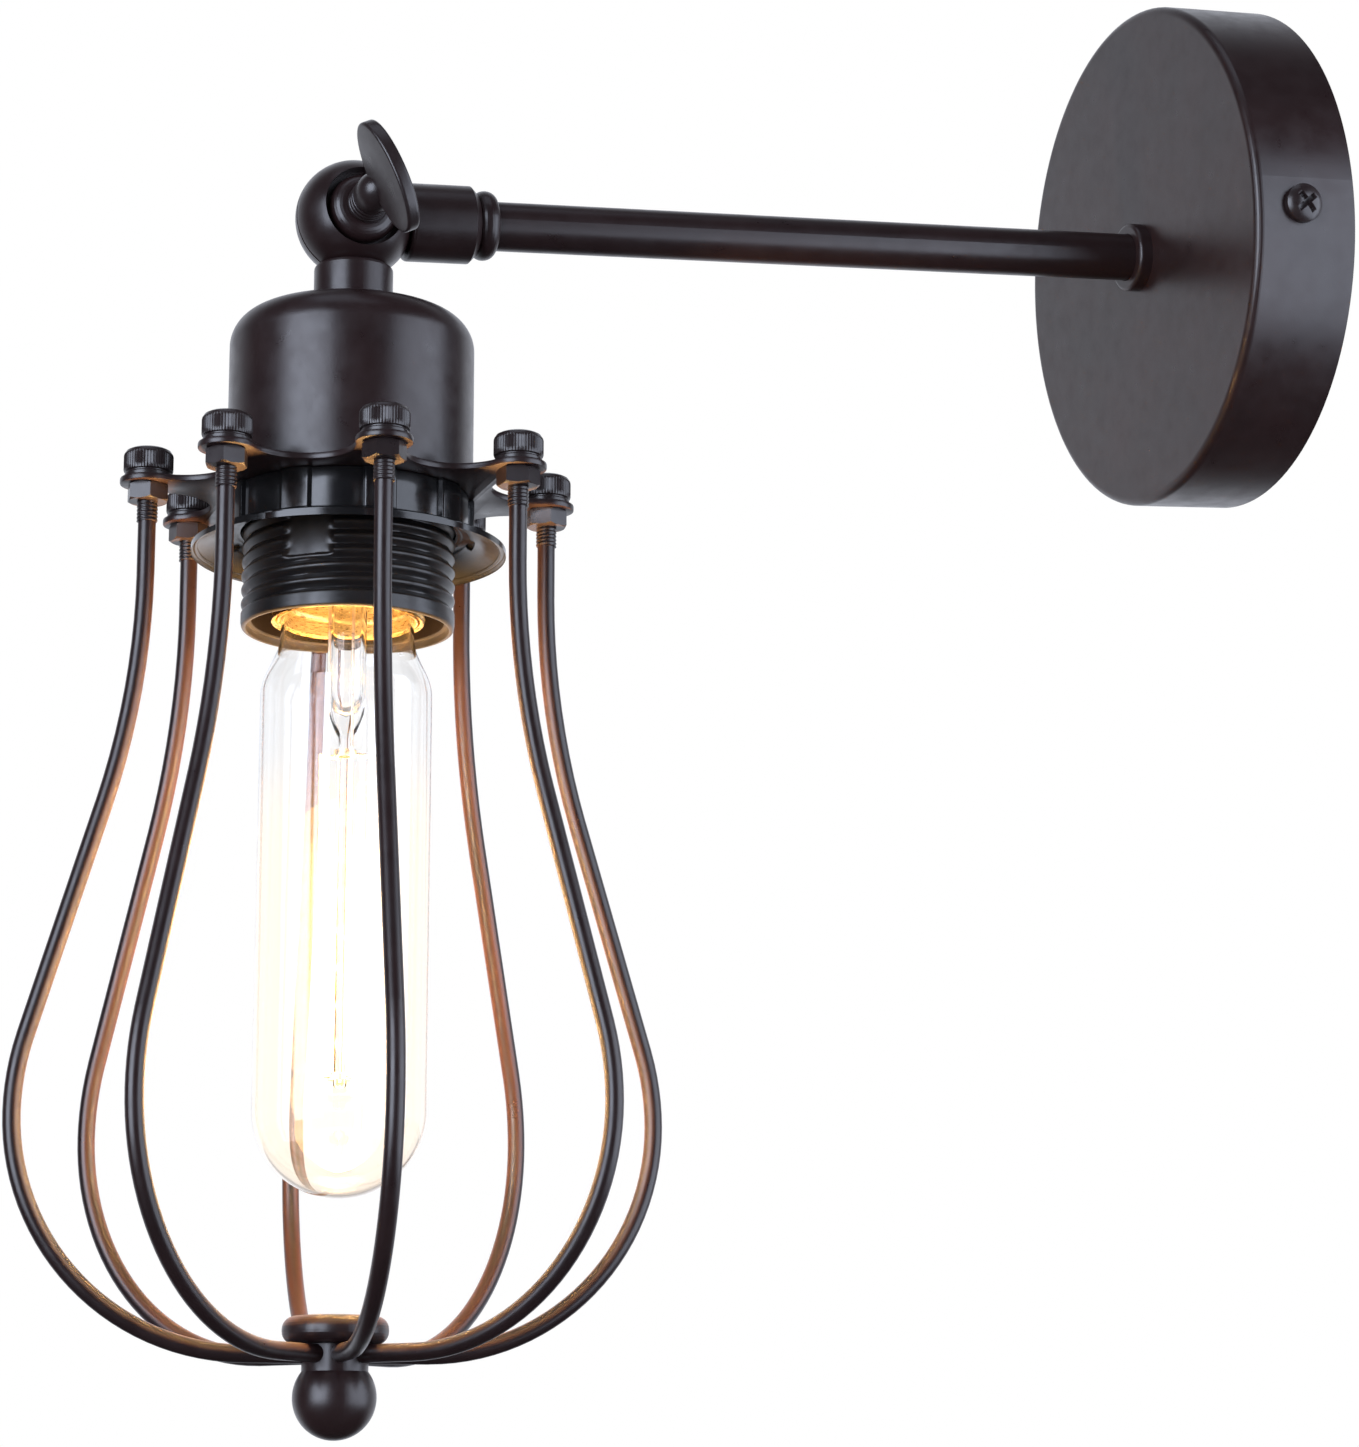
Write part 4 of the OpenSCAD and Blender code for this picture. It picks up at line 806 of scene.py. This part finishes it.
def cross_head():
    """Pan head with a cross recess, as a fine polar grid."""
    rings, steps = 44, 144
    rise = SIDE_HEAD_H * 0.5
    verts, faces = [], []
    for i in range(rings + 1):
        r = SIDE_HEAD_R * i / rings
        for k in range(steps):
            angle = 2 * math.pi * k / steps
            x, y = r * math.cos(angle), r * math.sin(angle)
            top = SIDE_HEAD_H - rise * (r / SIDE_HEAD_R) ** 3.2
            slot_x = max(abs(x) / CROSS_HALF_L, abs(y) / CROSS_HALF_W)
            slot_y = max(abs(y) / CROSS_HALF_L, abs(x) / CROSS_HALF_W)
            inside = clamp((1.12 - min(slot_x, slot_y)) / 0.24)
            sink = CROSS_DEPTH * (1 - 0.55 * r / CROSS_HALF_L)
            verts.append((x, y, top - sink * inside))
            if i:
                a, b = (i - 1) * steps + k, (i - 1) * steps + (k + 1) % steps
                faces.append([a, i * steps + k, i * steps + (k + 1) % steps, b])
    edge = rings * steps
    base = len(verts)
    for k in range(steps):
        angle = 2 * math.pi * k / steps
        verts.append((SIDE_HEAD_R * math.cos(angle), SIDE_HEAD_R * math.sin(angle), 0))
        j = (k + 1) % steps
        faces.append([edge + k, base + k, base + j, edge + j])
    faces.append([base + k for k in range(steps)][::-1])
    return verts, faces


shank = revolve([(0, -7), (1.6, -7), (2.0, -6.5), (2.0, 0.02), (0, 0.02)], 32, False)
on_side = Matrix.Translation((CANOPY_R + 0.03, 0, SIDE_SCREW_OUT)) @ Matrix.Rotation(math.radians(90), 4, "Y")
screw_parts = []
for side in (0, 180):
    place = Matrix.Rotation(math.radians(SIDE_SCREW_TURN + side), 4, "Z") @ on_side
    cross = Matrix.Rotation(math.radians(CROSS_TURN), 4, "Z")
    screw_parts += [moved(cross_head(), place @ cross), moved(shank, place)]
piece("side_screws_cross", *joined(screw_parts),
      WALL, "base", BRONZE_NUT, "bronze_nut", ["canopy_screws"], 32)

# ---------- Floor ----------

FLOOR_HALF = 6
FLOOR_LEVEL = -0.9
FLOOR_GLOW = (0.56, 0.56, 0.56)

floor_mesh = bpy.data.meshes.new("floor")
floor_corners = [(-1, -1), (1, -1), (1, 1), (-1, 1)]
floor_verts = [(x * FLOOR_HALF, y * FLOOR_HALF, FLOOR_LEVEL) for x, y in floor_corners]
floor_mesh.from_pydata(floor_verts, [], [[0, 1, 2, 3]])
floor = bpy.data.objects.new("floor", floor_mesh)
bpy.context.scene.collection.objects.link(floor)
floor_material, floor_tree, floor_shader = new_material("pale_floor")
floor_tree.links.new(tone(floor_tree, noise(floor_tree, FLOOR_TONE, 2), (0.80, 0.80, 0.80), (0.84, 0.84, 0.84)),
                     floor_shader.inputs["Base Color"])
floor_shader.inputs["Roughness"].default_value = 0.8
floor_shader.inputs["Emission Color"].default_value = (*FLOOR_GLOW, 1)
floor_path = floor_tree.nodes.new("ShaderNodeLightPath")
floor_tree.links.new(floor_path.outputs["Is Camera Ray"], floor_shader.inputs["Emission Strength"])
floor_mesh.materials.append(floor_material)
floor.visible_glossy = False

# ---------- World ----------

STUDIO_BLUE = (0.86, 0.90, 1.0)
WHITE = (1, 1, 1)
# Direction of the white backdrop behind the lamp
BACKDROP_WAY = (-0.94, 0.34, 0.0)
BACKDROP_LEVEL = 1.15
DIM_LEVEL = 0.03
FILL_LEVEL = 0.35

world = bpy.data.worlds.new("studio")
bpy.context.scene.world = world
world.use_nodes = True
sky = world.node_tree
sky.nodes.clear()


def backdrop_light(colour, strength):
    node = sky.nodes.new("ShaderNodeBackground")
    node.inputs["Color"].default_value = (*colour, 1)
    node.inputs["Strength"].default_value = strength
    return node.outputs["Background"]


def either(first, second, factor):
    """Mixes two shaders by a factor."""
    node = sky.nodes.new("ShaderNodeMixShader")
    sky.links.new(factor, node.inputs["Fac"])
    sky.links.new(first, node.inputs[1])
    sky.links.new(second, node.inputs[2])
    return node.outputs["Shader"]


def combine(operation, first, second):
    node = sky.nodes.new("ShaderNodeMath")
    node.operation = operation
    sky.links.new(first, node.inputs[0])
    sky.links.new(second, node.inputs[1])
    return node.outputs["Value"]


# Reflections show the white backdrop behind the lamp and the dim studio in front of it and below it.
place_in_sky = sky.nodes.new("ShaderNodeTexCoord").outputs["Generated"]
behind = sky.nodes.new("ShaderNodeVectorMath")
behind.operation = "DOT_PRODUCT"
behind.inputs[1].default_value = BACKDROP_WAY
sky.links.new(place_in_sky, behind.inputs[0])
height = sky.nodes.new("ShaderNodeSeparateXYZ")
sky.links.new(place_in_sky, height.inputs["Vector"])
backdrop = combine("MULTIPLY", map_range(sky, behind.outputs["Value"], 0.15, 0.85, smooth=True),
                   map_range(sky, height.outputs["Z"], -0.65, -0.25, smooth=True))
path = sky.nodes.new("ShaderNodeLightPath")
seen = combine("MAXIMUM", path.outputs["Is Camera Ray"], path.outputs["Is Transmission Ray"])
reflected = either(backdrop_light(STUDIO_BLUE, DIM_LEVEL), backdrop_light(STUDIO_BLUE, BACKDROP_LEVEL), backdrop)
lit = either(backdrop_light(WHITE, FILL_LEVEL), reflected, path.outputs["Is Glossy Ray"])
whole = either(lit, backdrop_light(WHITE, 1.0), seen)
out = sky.nodes.new("ShaderNodeOutputWorld")
sky.links.new(whole, out.inputs["Surface"])

# ---------- Lights ----------

COOL = (0.77, 0.84, 1.0)


def softbox(name, place, target, size, power):
    lamp = bpy.data.lights.new(name, "AREA")
    lamp.shape = "RECTANGLE"
    lamp.size, lamp.size_y = size
    lamp.energy = power
    lamp.color = COOL
    obj = bpy.data.objects.new(name, lamp)
    obj.location = place
    bpy.context.scene.collection.objects.link(obj)
    obj.rotation_euler = (Vector(target) - obj.location).to_track_quat("-Z", "Y").to_euler()
    obj.visible_camera = False


softbox("key_left", (0.73, -1.27, 0.10), (0, -0.19, -0.03), (1.0, 1.1), 28)
softbox("key_right", (0.42, 0.40, -0.10), (0, -0.15, 0.0), (0.80, 0.76), 7.6)
softbox("top", (0.30, -0.25, 1.2), (0, -0.12, 0), (1.0, 0.7), 2.0)

# A row of small lamps stands for the filament's light. It weakens beyond the cage, as under a short exposure.
BULB_LIGHTS = 8
GLOW_TOP = 116
GLOW_LENGTH = 48
GLOW_POWER = 0.72
GLOW_COLOUR = (1.0, 0.58, 0.21)
GLOW_RADIUS = 0.011
for i in range(BULB_LIGHTS):
    lamp = bpy.data.lights.new(f"bulb_glow_{i}", "POINT")
    lamp.energy = GLOW_POWER
    lamp.color = GLOW_COLOUR
    lamp.shadow_soft_size = GLOW_RADIUS
    lamp.use_nodes = True
    tree = lamp.node_tree
    distance = tree.nodes.new("ShaderNodeLightPath").outputs["Ray Length"]
    tree.links.new(map_range(tree, distance, 0.07, 0.19, 1.0, 0.12), tree.nodes["Emission"].inputs["Strength"])
    glow = bpy.data.objects.new(f"bulb_glow_{i}", lamp)
    glow.location = HEAD @ Vector((0, 0, -(GLOW_TOP + GLOW_LENGTH * i / (BULB_LIGHTS - 1)) * MM))
    bpy.context.scene.collection.objects.link(glow)
    glow.visible_camera = False
    glow.visible_transmission = False
    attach(glow, "bulb")

# ---------- Camera at the photograph's viewing angle ----------

IMAGE_HEIGHT = 1447
FOCAL_PIXELS = 3748.0
SENSOR = 36
CAMERA_PLACE = (0.66148, -0.37082, -0.23483)
YAW, PITCH, ROLL = (math.radians(a) for a in (20.10, 10.98, -3.87))
level_view = Vector((-math.cos(YAW), math.sin(YAW), 0))
level_right = Vector((math.sin(YAW), math.cos(YAW), 0))
view = level_view * math.cos(PITCH) + Vector((0, 0, math.sin(PITCH)))
upright = Vector((0, 0, math.cos(PITCH))) - level_view * math.sin(PITCH)
right = level_right * math.cos(ROLL) + upright * math.sin(ROLL)
up = upright * math.cos(ROLL) - level_right * math.sin(ROLL)
camera_data = bpy.data.cameras.new("camera")
camera_data.sensor_width = SENSOR
camera_data.lens = FOCAL_PIXELS * SENSOR / IMAGE_HEIGHT
camera_data.clip_start = 0.01
camera = bpy.data.objects.new("camera", camera_data)
camera.matrix_world = Matrix.Translation(CAMERA_PLACE) @ Matrix((right, up, -view)).transposed().to_4x4()
bpy.context.scene.collection.objects.link(camera)
bpy.context.scene.camera = camera

bpy.context.scene.view_settings.view_transform = "Standard"
